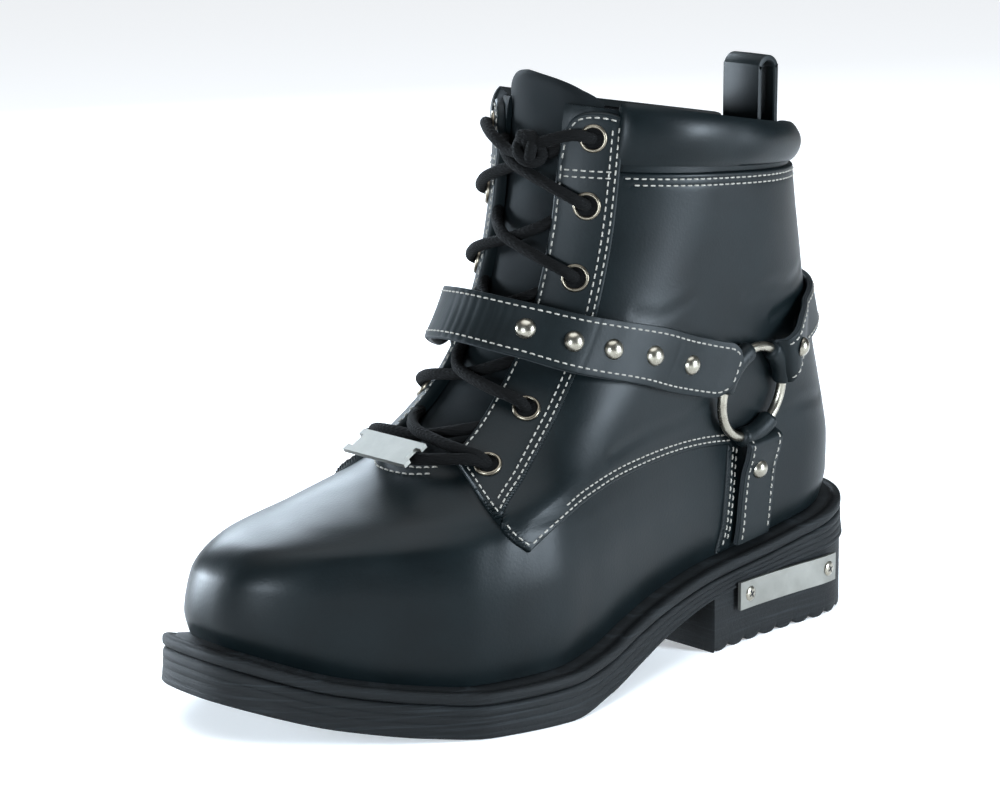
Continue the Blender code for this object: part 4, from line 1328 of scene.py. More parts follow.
@dataclass
class Tongue:
    """The tongue behind the laces, soft at its top."""

    edge: float = 0.80
    span: tuple[float, float] = (0.50, 1.06)
    depth: float = 2.9
    thick: float = 2.4
    columns: int = 60
    rows: int = 90

    def build(self, leather: bpy.types.Material) -> None:
        """Make the sheet with shallow folds and a rolled top.

        Args:
            leather: its finish.
        """
        share, rise = np.meshgrid(np.linspace(-1, 1, self.columns), np.linspace(0, 1, self.rows))
        up = self.span[0] + rise * (self.span[1] - self.span[0])
        slump = 0.03 * np.abs(share) ** 3 + 0.022 * np.clip(0.3 - share, 0, 1)
        up = up - slump * np.clip((rise - 0.7) / 0.3, 0, 1)
        around = 1 + share * (1 - self.edge)
        fold = 0.7 * np.sin(share * 5 + rise * 3) * np.sin(rise * 19) * np.clip(rise * 3, 0, 1)
        roll = np.clip((rise - 0.965) / 0.035, 0, 1) ** 2
        over = LAST.lifted(around, up, -self.depth + fold - roll)
        under = LAST.lifted(around, up, -self.depth - self.thick + fold + roll)
        faces = turned_over(grid_faces(self.rows, self.columns))
        points, solid = closed_sheet(over.reshape(-1, 3), under.reshape(-1, 3), faces)
        piece_from("tongue_leather", points, solid, leather, Slot.LEATHER, ["tongue"])


def strip_edge(thick: float, corner: float, bevel: float) -> list[tuple[float, float]]:
    """One cut edge of a strip of two layers, with the joint between them.

    Args:
        thick: thickness of the strip.
        corner: height of its rounded corners.
        bevel: how far the upper corner is pulled in.

    Returns:
        Inset and height pairs, from the underside up.
    """
    return [(0.0, corner), (0.0, 0.44 * thick), (0.25, 0.5 * thick), (0.0, 0.56 * thick),
            (0.0, thick - corner), (bevel, thick - 0.12), (0.6, thick)]


def raw_edges(piece: bpy.types.Object, raw: bpy.types.Material, count: int, top: int) -> None:
    """Give the cut edges of a swept strip their own finish.

    Args:
        piece: the strip.
        raw: finish of the edges.
        count: faces round its section.
        top: points of its section between the two edges.
    """
    cut = 4
    far = top + 9
    columns = (*range(cut), *range(far, far + cut))
    piece.data.materials.append(raw)
    for face in piece.data.polygons:
        face.material_index = int(face.index % count in columns and len(face.vertices) == 4)


@dataclass
class Strap:
    """A harness strap: two layers of leather, stitched along both edges, with rounded or square ends."""

    name: str
    table: Sequence[tuple[float, float, float]]
    width: float
    rounded: bool = False
    thick: float = 2.6
    inset: float = 2.1
    step: float = 0.7
    # Crowned face: share of the half width of each point
    crown: tuple[float, ...] = (-0.72, -0.4, 0.0, 0.4, 0.72)
    # Place round the boot and depth of each cross crease
    ribs: tuple = ()
    # Place of an end, where its slant stops and how far it leans
    skews: tuple[tuple[float, float, float], ...] = ()

    def relief(self, around: Array) -> Array:
        """Shallow cross creases where the strap bends over the instep.

        Args:
            around: places along the strap.

        Returns:
            The lift at each place.
        """
        rib_half = 0.0045
        total = np.zeros(len(around))
        for place, depth in self.ribs:
            total = total - depth * np.exp(-((around - place) / rib_half) ** 2)
        return total

    def centre(self) -> Array:
        """The strap's middle line.

        Returns:
            Rows of around, height and stand-off.
        """
        rows = np.array(sorted(self.table), float)
        around = np.linspace(rows[0, 0], rows[-1, 0], 240)
        columns = [smooth(rows[:, 0], rows[:, k], around) for k in (1, 2)]
        return np.stack([around, *columns], -1)

    def point(self, line: Array, offset: Array, lift: Array) -> Array:
        """Points across the strap.

        Args:
            line: rows of its middle line.
            offset: distance up from the middle.
            lift: height over its underside.

        Returns:
            Points in millimetres.
        """
        around = np.broadcast_to(line[:, :1], offset.shape)
        for start, stop, lean in self.skews:
            around = around + lean * np.clip((line[:, :1] - stop) / (start - stop), 0, 1) * offset
        up = LAST.up_at(around, line[:, 1:2] + offset)
        return LAST.lifted(around, up, line[:, 2:3] + lift)

    def face_row(self, line: Array, offset: Array) -> tuple[Array, Array]:
        """A line on the strap's face.

        Args:
            line: rows of the middle line.
            offset: distance up from the middle at each row.

        Returns:
            Its points and the outward directions there.
        """
        lift = np.full((len(line), 1), self.thick + 0.02)
        path = self.point(line, offset[:, None], lift)[:, 0]
        over = self.point(line, offset[:, None], lift + 1)[:, 0]
        return path, unit(over - path)

    def build(self, leather: bpy.types.Material, raw: bpy.types.Material, stitching: Stitching) -> None:
        """Make the strap and sew its edges.

        Args:
            leather: its finish.
            raw: finish of its cut edges.
            stitching: the group that takes its stitches.
        """
        line = self.centre()
        middle = np.zeros((len(line), 1))
        length = lengths(self.point(line, middle, middle)[:, 0])
        close = np.array([0.0, 0.15, 0.5, 1.0])
        at = np.unique(np.concatenate([np.arange(0, length[-1], self.step), close, length[-1] - close]))
        line = read_at(at, length, line)
        gaps = (at, length[-1] - at)
        # Share of the width that an end takes up, and how far it narrows there
        reach, narrow = (0.42, 0.93) if self.rounded else (0.06, 0.2)
        half = np.full(len(at), self.width / 2)
        for gap in gaps:
            q = np.clip(1 - gap / (self.width * reach), 0, 1)
            half = half * np.clip(np.sqrt(1 - q ** 2 * narrow), 0.05, 1)
        edge = strip_edge(self.thick, 0.55, 0.18)
        across = [(-half + a, h) for a, h in edge]
        across += [(half * share, self.thick + 0.10) for share in self.crown]
        across += [(half - a, h) for a, h in edge[::-1]]
        across += [(half - 0.5, 0.0), (half * 0.0, 0.0), (-half + 0.5, 0.0)]
        offset = np.stack([a for a, _ in across], -1)
        lift = np.broadcast_to(np.array([h for _, h in across]), offset.shape)
        lift = lift + self.relief(line[:, 0])[:, None] * (lift > 0.8 * self.thick)
        points = self.point(line, offset, lift)
        faces = capped(len(line), len(across))
        section, following = points[len(line) // 2], points[len(line) // 2 + 1]
        turn = np.cross(section[1] - section[0], following[0] - section[0])
        faces = faces if turn @ (section[0] - section.mean(0)) > 0 else turned_over(faces)
        piece = piece_from(self.name + "_leather", points.reshape(-1, 3), faces, leather, Slot.LEATHER,
                           [self.name], 35.0)
        raw_edges(piece, raw, len(across), len(self.crown))
        keep = (at > self.inset) & (at < length[-1] - self.inset)
        for side in (-1, 1):
            path, out = self.face_row(line, side * np.maximum(half - self.inset, 0))
            stitching.sew(path[keep], out[keep])
        for gap in gaps if self.rounded else ():
            k = int(np.argmin(np.abs(gap - self.inset)))
            span = np.linspace(-1, 1, 24) * max(half[k] - self.inset, 0.5)
            stitching.sew(*self.face_row(np.repeat(line[k:k + 1], len(span), 0), span))


@dataclass
class Harness:
    """Straps, rings, studs and rivets."""

    # Straps: around, height of the middle, and clear height over the last
    front: tuple = ((0.42, 111.9, 7.7), (0.46, 113.6, 5.2), (0.5215, 117.1, 3.2), (0.6154, 122.9, 3.0),
                    (0.7038, 126.2, 4.1), (0.7827, 128.4, 7.4), (0.8722, 130.9, 10.9), (1.00, 132.4, 13.0),
                    (1.13, 131.0, 11.0), (1.20, 129.0, 9.6), (1.25, 127.0, 9.2), (1.305, 125.0, 9.4))
    back: tuple = ((0.3150, 110.8, 4.6), (0.3080, 112.0, 8.2), (0.2991, 114.1, 9.0),
                   (0.2811, 119.0, 7.0), (0.24, 123.5, 3.6), (0.12, 127.0, 2.6), (0.0, 128.0, 2.6),
                   (-0.22, 121.5, 2.6), (-0.392, 113.0, 2.6))
    back_ends: tuple = ((-0.392, -0.25, -0.0013), (0.315, 0.265, 0.0023))
    medial: tuple = ((-0.493, 114.0, 4.0), (-0.53, 115.8, 6.6), (-0.57, 117.8, 9.4), (-0.605, 119.8, 9.8))
    widths: tuple[float, float, float] = (20.5, 18.0, 15.0)
    ribs: tuple = ((0.905, 0.14), (0.922, 0.22), (0.941, 0.25), (0.957, 0.18), (0.978, 0.26), (0.997, 0.2),
                   (1.016, 0.24), (1.038, 0.18), (0.75, 0.10), (0.835, 0.12), (0.66, 0.08), (0.565, 0.1))
    # Strap to the sole: rear and front edge from the heel, lowest and highest up, and lift at each up
    down: tuple = (61.0, 81.0, 0.02, 0.288)
    down_lift: tuple = ((0.02, 2.3), (0.10, 2.5), (0.18, 3.6), (0.24, 6.3), (0.265, 6.9), (0.280, 5.4),
                        (0.288, 2.5))
    down_crown: tuple = ((3.0, 0.05), (10.0, 0.08), (17.0, 0.05))
    down_rows: int = 70
    thick: float = 2.6
    inset: float = 2.1
    # Rings: around, height and lift of the centre, and radius
    rings: tuple = (("ring_lateral", 0.352, 100.4, 5.4, 18.2), ("ring_medial", -0.645, 122.0, 4.8, 14.5))
    wire: float = 1.9
    # Strap folds round the wire: ring, name, and start and stop in degrees
    sleeves: tuple = (("ring_lateral", "fold_front", 105.0, 172.0), ("ring_lateral", "fold_back", 4.0, 64.0),
                      ("ring_lateral", "fold_down", 258.0, 318.0), ("ring_medial", "fold_tab", -35.0, 30.0),
                      ("ring_medial", "fold_tail", 150.0, 215.0))
    sleeve: float = 2.1
    # Studs and rivets: around and height
    studs: tuple = ((0.8722, 130.9), (0.7827, 128.4), (0.7038, 126.2), (0.6154, 122.9), (0.5215, 117.1))
    rivets: tuple = (("rivet_back", "strap_back", 0.290, 116.4),
                     ("rivet_medial", "strap_medial", -0.530, 115.8),
                     ("rivet_down", "strap_down", 0.313, 68.0))
    # The stretch of the strap to the sole that its rivet sits on
    down_seat: tuple = ((0.2, 68.0, 3.9), (0.4, 68.0, 3.9))
    stud_size: tuple[float, float] = (3.9, 2.7)
    dome: tuple = ((0.0, 1.0), (0.22, 0.975), (0.42, 0.90), (0.60, 0.78), (0.76, 0.60), (0.88, 0.40),
                   (0.96, 0.18), (1.0, 0.0), (0.9, -0.12))

    def build(self, leather: bpy.types.Material, raw: bpy.types.Material, nickel: bpy.types.Material,
              stitching: Stitching) -> None:
        """Make every piece of the harness.

        Args:
            leather: finish of the straps.
            raw: finish of their cut edges.
            nickel: finish of the metal.
            stitching: the group that takes the straps' stitches.
        """
        front, back, inner = self.widths
        straps = {"strap_front": Strap("strap_front", self.front, front, True, ribs=self.ribs),
                  "strap_back": Strap("strap_back", self.back, back, skews=self.back_ends),
                  "strap_medial": Strap("strap_medial", self.medial, inner)}
        for strap in straps.values():
            strap.build(leather, raw, stitching)
        self.build_down(leather, raw, stitching)
        for ring in self.rings:
            self.build_ring(*ring, leather, nickel)
        for i, (around, height) in enumerate(self.studs):
            self.head(f"stud_{i + 1}", straps["strap_front"], around, height, nickel)
        straps["strap_down"] = Strap("strap_down", self.down_seat, self.down[1] - self.down[0])
        for name, host, around, height in self.rivets:
            self.head(name, straps[host], around, height, nickel)

    def build_ring(self, name: str, around: float, height: float, lift: float, radius: float,
                   leather: bpy.types.Material, nickel: bpy.types.Material) -> None:
        """A ring, and the strap folds round its wire.

        Args:
            name: the CAD node that it stands for.
            around: its place round the boot.
            height: its height from the floor.
            lift: its height over the last.
            radius: radius of its middle line.
            leather: finish of the folds.
            nickel: finish of the wire.
        """
        up = LAST.up_at(np.array(around), np.array(height))
        side, rise, _ = frame_at(LAST.normal(np.array(around), up))

        def arc(turn: Array) -> Array:
            """Points on the ring's middle line."""
            return LAST.lifted(around, up, lift) + radius * (np.cos(turn)[:, None] * side
                                                            + np.sin(turn)[:, None] * rise)

        path = arc(np.linspace(0, 2 * math.pi, 72, endpoint=False))
        wire = tube(path, np.full(len(path), self.wire), 20, True)
        piece_from(name + "_wire", *wire, nickel, Slot.NICKEL, [name])
        for _, fold, start, stop in (row for row in self.sleeves if row[0] == name):
            share = np.linspace(-1, 1, 26)
            ends = np.sqrt(1 - 0.5 * np.abs(share) ** 14)
            path = arc(np.radians(np.linspace(start, stop, len(share))))
            sleeve = tube(path, (self.wire + self.sleeve) * ends, 20)
            piece_from(f"{fold}_{name}", *sleeve, leather, Slot.LEATHER)

    def head(self, name: str, strap: Strap, around: float, height: float, nickel: bpy.types.Material) -> None:
        """A domed head on a strap.

        Args:
            name: the CAD node that it stands for.
            strap: the strap that it is set in.
            around: its place round the boot.
            height: its height from the floor.
            nickel: its finish.
        """
        rows = np.array(sorted(strap.table), float)

        def spot(a: float, z: float) -> Array:
            """A point on the strap's face."""
            line = np.array([[a, z, float(smooth(rows[:, 0], rows[:, 2], a))]])
            return strap.point(line, np.zeros((1, 1)), np.full((1, 1), strap.thick + 0.1))[0, 0]

        normal = np.cross(spot(around, height + 2) - spot(around, height - 2),
                          spot(around + 0.01, height) - spot(around - 0.01, height))
        radius, tall = self.stud_size
        profile = [(r * radius, h * tall) for r, h in self.dome]
        points, faces = turned(profile, 32, spot(around, height), frame_at(normal))
        piece_from(name + "_head", points, faces, nickel, Slot.NICKEL, [name])

    def build_down(self, leather: bpy.types.Material, raw: bpy.types.Material, stitching: Stitching) -> None:
        """The strap from the ring to the sole.

        Args:
            leather: its finish.
            raw: finish of its cut edges.
            stitching: the group that takes its stitches.
        """
        rear, front, low, high = self.down
        width = front - rear
        ups = np.linspace(low, high, self.down_rows)
        lifts = smooth(*zip(*self.down_lift), ups)
        edge = strip_edge(self.thick, 0.5, 0.2)
        across = edge + [(a, self.thick + h) for a, h in self.down_crown]
        across += [(width - a, h) for a, h in edge[::-1]] + [(width - 0.5, 0.0), (0.5, 0.0)]
        x = rear + np.array([a for a, _ in across])
        grid_up = np.repeat(ups[:, None], len(across), 1)
        around = LAST.around_at(x[None, :], grid_up)
        points = LAST.lifted(around, grid_up, lifts[:, None] + np.array([h for _, h in across]))
        faces = turned_over(capped(len(ups), len(across)))
        piece = piece_from("strap_down_leather", points.reshape(-1, 3), faces, leather, Slot.LEATHER,
                           ["strap_down"], 35.0)
        raw_edges(piece, raw, len(across), len(self.down_crown))
        sewn, sewn_lifts = ups[2:-1], lifts[2:-1]
        for line in (rear + self.inset, front - self.inset):
            spots = LAST.around_at(line, sewn)
            stitching.sew(LAST.lifted(spots, sewn, sewn_lifts + self.thick), LAST.normal(spots, sewn))


@dataclass
class Lacing:
    """Eyelets and the round lace that crosses through them; the bare charm on its lowest run stays the CAD
    part.
    """

    around: float = 0.815
    ups: tuple = (0.503, 0.605, 0.710, 0.800, 0.890, 0.960)
    face: float = 2.6
    radius: float = 2.2
    # Profile of an eyelet, and the radius of its dark well: a flat disc in the lace's black, partly the lace
    # in the hole and partly painted shade of the hollow
    rim: tuple = ((0.0, 0.04), (3.75, 0.04), (3.8, 0.4), (4.0, 0.78), (4.35, 0.95), (4.8, 0.88), (5.1, 0.56),
                  (5.25, 0.15), (5.2, -0.3))
    well: float = 3.7

    def build(self, brass: bpy.types.Material, cord: bpy.types.Material) -> None:
        """Make the eyelets and the lace.

        Args:
            brass: finish of the eyelets.
            cord: finish of the lace, and of the eyelets' wells, where it is partly painted shade.
        """
        for side, sign in (("lateral", 1), ("medial", -1)):
            for i, up in enumerate(self.ups):
                node = f"eyelet_{side}_{i + 1}"
                spot = LAST.lifted(sign * self.around, up, self.face)
                axes = frame_at(LAST.normal(np.array(sign * self.around), np.array(up)))
                rim = turned(self.rim, 28, spot, axes)
                ring = piece_from(node + "_ring", *rim, brass, Slot.BRASS, [node])
                # The well takes the lace's black: partly the lace seen through the hole, partly painted shade
                # of its hollow
                ring.data.materials.append(cord)
                for face in ring.data.polygons:
                    offset = (np.array(face.center) / MM + ORIGIN - spot) @ axes.T
                    face.material_index = int(np.hypot(*offset[:2]) < self.well)
        runs = [self.tube_from(self.bar())]
        for sign in (1, -1):
            for i in range(len(self.ups) - 1):
                runs.append(self.tube_from(self.run(i, sign if i % 2 == 0 else -sign)))
        runs += [self.tube_from(path) for path in self.knot()]
        piece_from("lace_cord", *merged(runs), cord, Slot.CLOTH, ["lace_crossings"])

    def tube_from(self, stops: Sequence[tuple[float, float, float]]) -> tuple[Array, list]:
        """A round cord.

        Args:
            stops: around, up and lift of each stop.

        Returns:
            Points and faces.
        """
        stops = np.array(stops, float)
        path = rounded_line(LAST.lifted(stops[:, 0], stops[:, 1], stops[:, 2]), 1.2)
        return tube(path, np.full(len(path), self.radius), 12)

    def bar(self) -> list[tuple[float, float, float]]:
        """The straight run between the lowest eyelets.

        Returns:
            Around, up and lift stops.
        """
        up = self.ups[0]
        side = [(self.around, up, -1.5), (self.around + 0.006, up, 3.2), (self.around + 0.03, up, 6.2),
                (0.90, up, 6.4), (0.95, up, 5.8)]
        other = [(2 - a, u, lift) for a, u, lift in side[::-1]]
        return side + [(1.0, up, 5.6)] + other

    def run(self, i: int, sign: int) -> list[tuple[float, float, float]]:
        """Stops of one crossing, out of eyelet i and under the far edge to the next.

        Args:
            i: number of the lower eyelet.
            sign: 1 where the run starts on the lateral side, -1 on the medial side.

        Returns:
            Around, up and lift stops.
        """
        low, high = self.ups[i], self.ups[i + 1]
        step = high - low
        over = 4.6 if sign > 0 else 2.2
        stops = [(self.around, low, -1.5), (self.around + 0.004, low + 0.02 * step, 3.2),
                 (self.around + 0.025, low + 0.10 * step, 5.8), (0.905, low + 0.30 * step, 5.6),
                 (1.0, low + 0.52 * step, over), (1.075, low + 0.70 * step, 1.6),
                 (1.12, low + 0.85 * step, -0.6), (1.16, high - 0.03 * step, -2.0)]
        return stops if sign > 0 else [(2 - a, u, lift) for a, u, lift in stops]

    def knot(self) -> list[list[tuple[float, float, float]]]:
        """The run across the top eyelets, and the small knot on it.

        Returns:
            Around, up and lift stops of each.
        """
        up = self.ups[-1]
        across = [(self.around, up, -1.5), (self.around + 0.006, up, 3.2), (0.86, up + 0.002, 6.2),
                  (0.93, up - 0.01, 6.6), (1.0, up - 0.022, 5.2), (1.07, up - 0.01, 6.6),
                  (1.14, up + 0.002, 6.2), (1.179, up, 3.2), (1.185, up, -1.5)]
        turn = np.linspace(0, 5.2 * math.pi, 30)
        around = 0.950 + (0.016 + 0.012 * np.sin(0.37 * turn)) * np.cos(turn)
        ball = np.stack([around, up - 0.016 + 0.013 * np.sin(turn + 0.4), 7.2 + 2.0 * np.sin(1.5 * turn)], -1)
        return [across, ball.tolist()]


@dataclass
class Zip:
    """Tape and metal teeth on the medial side."""

    span: tuple[float, float] = (0.215, 0.985)
    chain: tuple[float, float] = (0.225, 0.93)
    tape_half: float = 8.6
    tape_grid: tuple[int, int] = (120, 15)
    # Under and upper face of the tape, middle of the teeth and of the stop, over the last
    lifts: tuple[float, float, float, float] = (0.1, 0.9, 1.5, 1.6)
    tooth: tuple[float, float, float] = (3.6, 1.15, 1.5)
    tooth_shift: float = 1.25
    pitch: float = 2.3
    stop: tuple[float, float, float] = (7.0, 3.4, 1.8)

    def line(self, up: Array, shift: Array = 0.0) -> Array:
        """Around values of the zip's line, moved to the front by shift millimetres."""
        return -LAST.zip_around(up, shift)

    def build(self, cloth: bpy.types.Material, nickel: bpy.types.Material) -> None:
        """Make the tape and the teeth.

        Args:
            cloth: finish of the tape.
            nickel: finish of the teeth.
        """
        under, over, middle, stop = self.lifts
        rows, columns = self.tape_grid
        up, shift = np.meshgrid(np.linspace(*self.span, rows),
                                np.linspace(-self.tape_half, self.tape_half, columns), indexing="ij")
        shift = shift * np.sqrt(1 - 0.85 * np.clip((self.span[0] + 0.03 - up) / 0.03, 0, 1) ** 2)
        around = self.line(up, shift)
        ridge = 0.25 * np.exp(-((np.abs(shift) - 3.4) / 0.7) ** 2)
        faces = LAST.lifted(around, up, over + ridge), LAST.lifted(around, up, under)
        tape = closed_sheet(*(face.reshape(-1, 3) for face in faces), grid_faces(rows, columns))
        piece_from("zip_tape_cloth", *tape, cloth, Slot.CLOTH, ["zip_tape"])
        ups = np.linspace(*self.chain, 400)
        path = LAST.lifted(self.line(ups), ups, 1.4)
        length = lengths(path)
        teeth = []
        for k, at in enumerate(np.arange(0.6, length[-1] - 0.5, self.pitch / 2)):
            up = np.interp(at, length, ups)
            around = self.line(np.array(up))
            rise = read_at(at + 0.5, length, path) - read_at(at - 0.5, length, path)
            axes = frame_at(LAST.normal(around, np.array(up)), rise)
            side = 1 if k % 2 else -1
            spot = LAST.lifted(around, up, middle) + axes[0] * self.tooth_shift * side
            teeth.append(bevelled(self.tooth, spot, axes, -side))
        low = np.array(self.span[0])
        spot = LAST.lifted(self.line(low + 0.006), low + 0.006, stop)
        teeth.append(bevelled(self.stop, spot, frame_at(LAST.normal(self.line(low), low))))
        piece_from("zip_teeth", *merged(teeth), nickel, Slot.NICKEL, ["zip_chain"], 30.0)


@dataclass
class Sole:
    """Welt, outsole and heel block, with the edge finishing of a cemented rubber unit."""

    stations: int = 150
    welt: float = 4.6
    breast: float = 100.0
    clearance: float = 0.1
    # Side profiles: share of the height down, and growth past the sole's edge
    welt_side: tuple = ((0.0, -14.0), (0.0, -5.6), (0.16, -4.9), (0.18, -3.6), (0.02, -2.9), (0.0, -1.4),
                        (0.07, -0.45), (0.22, 0.0), (0.5, 0.12), (0.78, 0.0), (0.93, -0.5), (1.0, -1.2),
                        (1.0, -14.0))
    outsole_side: tuple = ((0.0, -14.0), (0.0, -1.3), (0.04, -0.5), (0.12, 0.0), (0.28, 0.06), (0.31, -0.12),
                           (0.34, 0.1), (0.52, 0.2), (0.55, 0.05), (0.58, 0.26), (0.76, 0.52), (0.79, 0.4),
                           (0.82, 0.62), (0.92, 0.8), (0.97, 0.4), (1.0, -0.6), (1.0, -14.0))
    heel_side: tuple = ((0.0, 0.3), (0.3, 0.15), (0.9, 0.02), (0.97, 0.12), (1.0, 0.6))
    # Ridges under the heel: start, pitch, count and depth
    ridges: tuple[float, float, int, float] = (8.0, 10.2, 9, 2.0)

    def ring(self, grow: float, heights: Curve) -> Array:
        """A closed ring round the sole's edge.

        Args:
            grow: how far it is moved out.
            heights: its height at each distance from the heel.

        Returns:
            Its points in order.
        """
        x = LAST.sole_length * (1 - np.cos(np.linspace(0, math.pi, self.stations + 1))) / 2
        lateral = np.column_stack([x, LAST.sole_edge(x, 1)])
        inner = np.column_stack([x, LAST.sole_edge(x, -1)])[::-1]
        loop = np.vstack([lateral, inner[1:-1]])
        tangent = np.roll(loop, -1, 0) - np.roll(loop, 1, 0)
        normal = unit(np.column_stack([-tangent[:, 1], tangent[:, 0]]))
        return np.column_stack([loop + grow * normal, heights(loop[:, 0])])

    def layer(self, name: str, side: Sequence[tuple[float, float]], top: Curve, bottom: Curve,
              rubber: bpy.types.Material, replaced: str) -> None:
        """A layer from rings of its side profile, closed by rungs across both faces.

        Args:
            name: the piece's name.
            side: share of the height down and growth of each ring.
            top: height of its upper face.
            bottom: height of its lower face.
            rubber: its finish.
            replaced: the CAD node that it stands for.
        """
        def between(share: float) -> Curve:
            """The height at a share of the way down."""
            return lambda x: top(x) + share * (bottom(x) - top(x))

        rings = [self.ring(grow, between(share)) for share, grow in side]
        count = len(rings[0])
        faces = grid_faces(len(rings), count, True)
        for start, flip in ((0, 1), ((len(rings) - 1) * count, -1)):
            for i in range(count // 2):
                loop = list(dict.fromkeys(k % count for k in (i, i + 1, -i - 1, -i)))
                faces.append(tuple(start + j for j in loop)[::-flip])
        piece_from(name, np.vstack(rings), faces, rubber, Slot.RUBBER, [replaced])

    def build(self, rubber: bpy.types.Material) -> None:
        """Make the three rubber pieces.

        Args:
            rubber: their finish.
        """
        def welt_top(x: Array) -> Array:
            """Height of the welt's upper face."""
            return LAST.foot("top", x)

        def welt_bottom(x: Array) -> Array:
            """Height of the welt's underside."""
            return LAST.foot("top", x) - self.welt

        def outsole_top(x: Array) -> Array:
            """Height of the outsole's upper face."""
            return welt_bottom(x) - self.clearance

        def under(x: Array) -> Array:
            """Height of the outsole's underside."""
            return LAST.foot("under", x)

        self.layer("welt_rubber", self.welt_side, welt_top, welt_bottom, rubber, "welt")
        self.layer("outsole_rubber", self.outsole_side, outsole_top, under, rubber, "outsole")
        self.heel(rubber)

    def heel(self, rubber: bpy.types.Material) -> None:
        """The heel block with rounded ridges across its underside.

        Args:
            rubber: its finish.
        """
        back = (0.05, 0.3, 0.8, 1.6, 3.0, 5.0)
        front = (self.breast - 0.15, self.breast)
        x = np.concatenate([back, np.linspace(7.0, self.breast - 0.6, 180), front])
        start, pitch, count, depth = self.ridges
        phase = ((x - start) / pitch) % 1.0
        from_lobe = np.minimum(np.abs(phase - 0.56), 1 - np.abs(phase - 0.56)) * 2
        floor = np.where((x > start - 2) & (x < start + count * pitch), depth * from_lobe ** 3, 0.0)
        top = LAST.foot("under", x) - self.clearance
        shrink = np.where(x > self.breast - 0.1, 0.5, 0.0)
        loops = []
        for side in (1, -1):
            edge = LAST.sole_edge(x, side) - side * shrink
            loops.append([(edge - side * inset * np.clip(np.abs(edge) / 8, 0, 1), top + share * (floor - top))
                          for share, inset in self.heel_side])
        columns = loops[0] + loops[1][::-1]
        points = np.stack([np.stack([x, y, z], -1) for y, z in columns], 1)
        faces = turned_over(capped(len(x), len(columns)))
        piece_from("heel_rubber", points.reshape(-1, 3), faces, rubber, Slot.RUBBER, ["heel"], 40.0)


@dataclass
class HeelPlate:
    """Cross-head screws on the bare plate of the heel."""

    screws: tuple = (("heel_screw_front", 80.0), ("heel_screw_rear", 31.0))
    height: float = 20.05
    out: float = 2.75
    profile: tuple = ((0.0, 0.75), (1.2, 0.72), (2.2, 0.55), (2.8, 0.25), (3.0, 0.0), (2.9, -0.3))
    # The two slots of the cross, their height on the head and their turn. The slots are dark blocks on the
    # head: painted shade of the recessed cross
    slots: tuple = ((3.2, 0.7, 0.35), (0.7, 3.2, 0.35))
    slot_out: float = 0.62
    slot_turn: float = 0.5

    def build(self, nickel: bpy.types.Material, dark: bpy.types.Material) -> None:
        """Make the screws with their crossed slots.

        Args:
            nickel: finish of the heads.
            dark: finish of the slots, painted shade that stands for the shade in their recess.
        """
        for name, x in self.screws:
            slope = float(LAST.sole_edge(x + 0.2, 1) - LAST.sole_edge(x - 0.2, 1)) / 0.4
            normal = unit(np.array([-slope, 1.0, 0.0]))
            spot = np.array([x, float(LAST.sole_edge(x, 1)), self.height]) + normal * self.out
            axes = frame_at(normal)
            piece_from(name + "_head", *turned(self.profile, 28, spot, axes), nickel, Slot.NICKEL, [name])
            cos, sin = math.cos(self.slot_turn), math.sin(self.slot_turn)
            crossed = np.array([[cos, sin, 0], [-sin, cos, 0], [0, 0, 1]]) @ axes
            # Painted shade: dark blocks where the recessed slots of the cross lie in shade
            slots = [bevelled(size, spot + normal * self.slot_out, crossed) for size in self.slots]
            piece_from(name + "_cross", *merged(slots), dark, Slot.NICKEL)


@dataclass
class PullLoop:
    """The folded leather strip at the back of the collar."""

    width: float = 19.0
    thick: float = 2.4
    rise: float = 27.0
    # Lift over the last of the outer and of the inner end, and the ups that each runs through
    lifts: tuple[float, float] = (4.9, -6.8)
    outer_ups: tuple[float, ...] = (0.90, 0.95, 1.0)
    inner_ups: tuple[float, ...] = (1.0, 0.965, 0.935)
    sewn: int = 26
    inset: float = 2.0

    def build(self, leather: bpy.types.Material, stitching: Stitching) -> None:
        """Make the loop and sew its foot.

        Args:
            leather: its finish.
            stitching: the group that takes its stitches.
        """
        outer = [LAST.lifted(0.0, up, self.lifts[0]) for up in self.outer_ups]
        inner = [LAST.lifted(0.0, up, self.lifts[1]) for up in self.inner_ups]
        top = max(outer[-1][2], inner[0][2]) + self.rise
        middle = (outer[-1][0] + inner[0][0]) / 2
        radius = (inner[0][0] - outer[-1][0]) / 2
        arc = [np.array([middle - radius * math.cos(t), 0.0, top - radius + radius * math.sin(t)])
               for t in np.linspace(0, math.pi, 14)]
        path = rounded_line(np.array([*outer, *arc, *inner]), 1.0)
        tangent = np.gradient(path, axis=0)
        out = unit(np.stack([-tangent[:, 2], np.zeros(len(path)), tangent[:, 0]], -1))
        t, w = self.thick, self.width / 2
        edge = [(-w, 0.5), (-w, t - 0.5), (-w + 0.15, t - 0.12), (-w + 0.5, t)]
        across = edge + [(0.0, t + 0.1)] + [(-a, h) for a, h in edge[::-1]]
        across += [(w - 0.5, 0.0), (-w + 0.5, 0.0)]
        points = np.stack([path + np.array([0.0, a, 0.0]) + out * (h - t) for a, h in across], 1)
        faces = turned_over(capped(len(path), len(across)))
        piece_from("pull_loop_leather", points.reshape(-1, 3), faces, leather, Slot.LEATHER,
                   ["pull_loop"], 35.0)
        for side in (-1, 1):
            shift = np.array([0.0, side * (w - self.inset), 0.0])
            stitching.sew(path[:self.sewn] + shift, out[:self.sewn])
        across_foot = np.linspace(-w + 2.5, w - 2.5, 20)
        foot = path[1] + np.outer(across_foot, (0.0, 1.0, 0.0))
        stitching.sew(foot, np.repeat(out[1:2], len(foot), 0))


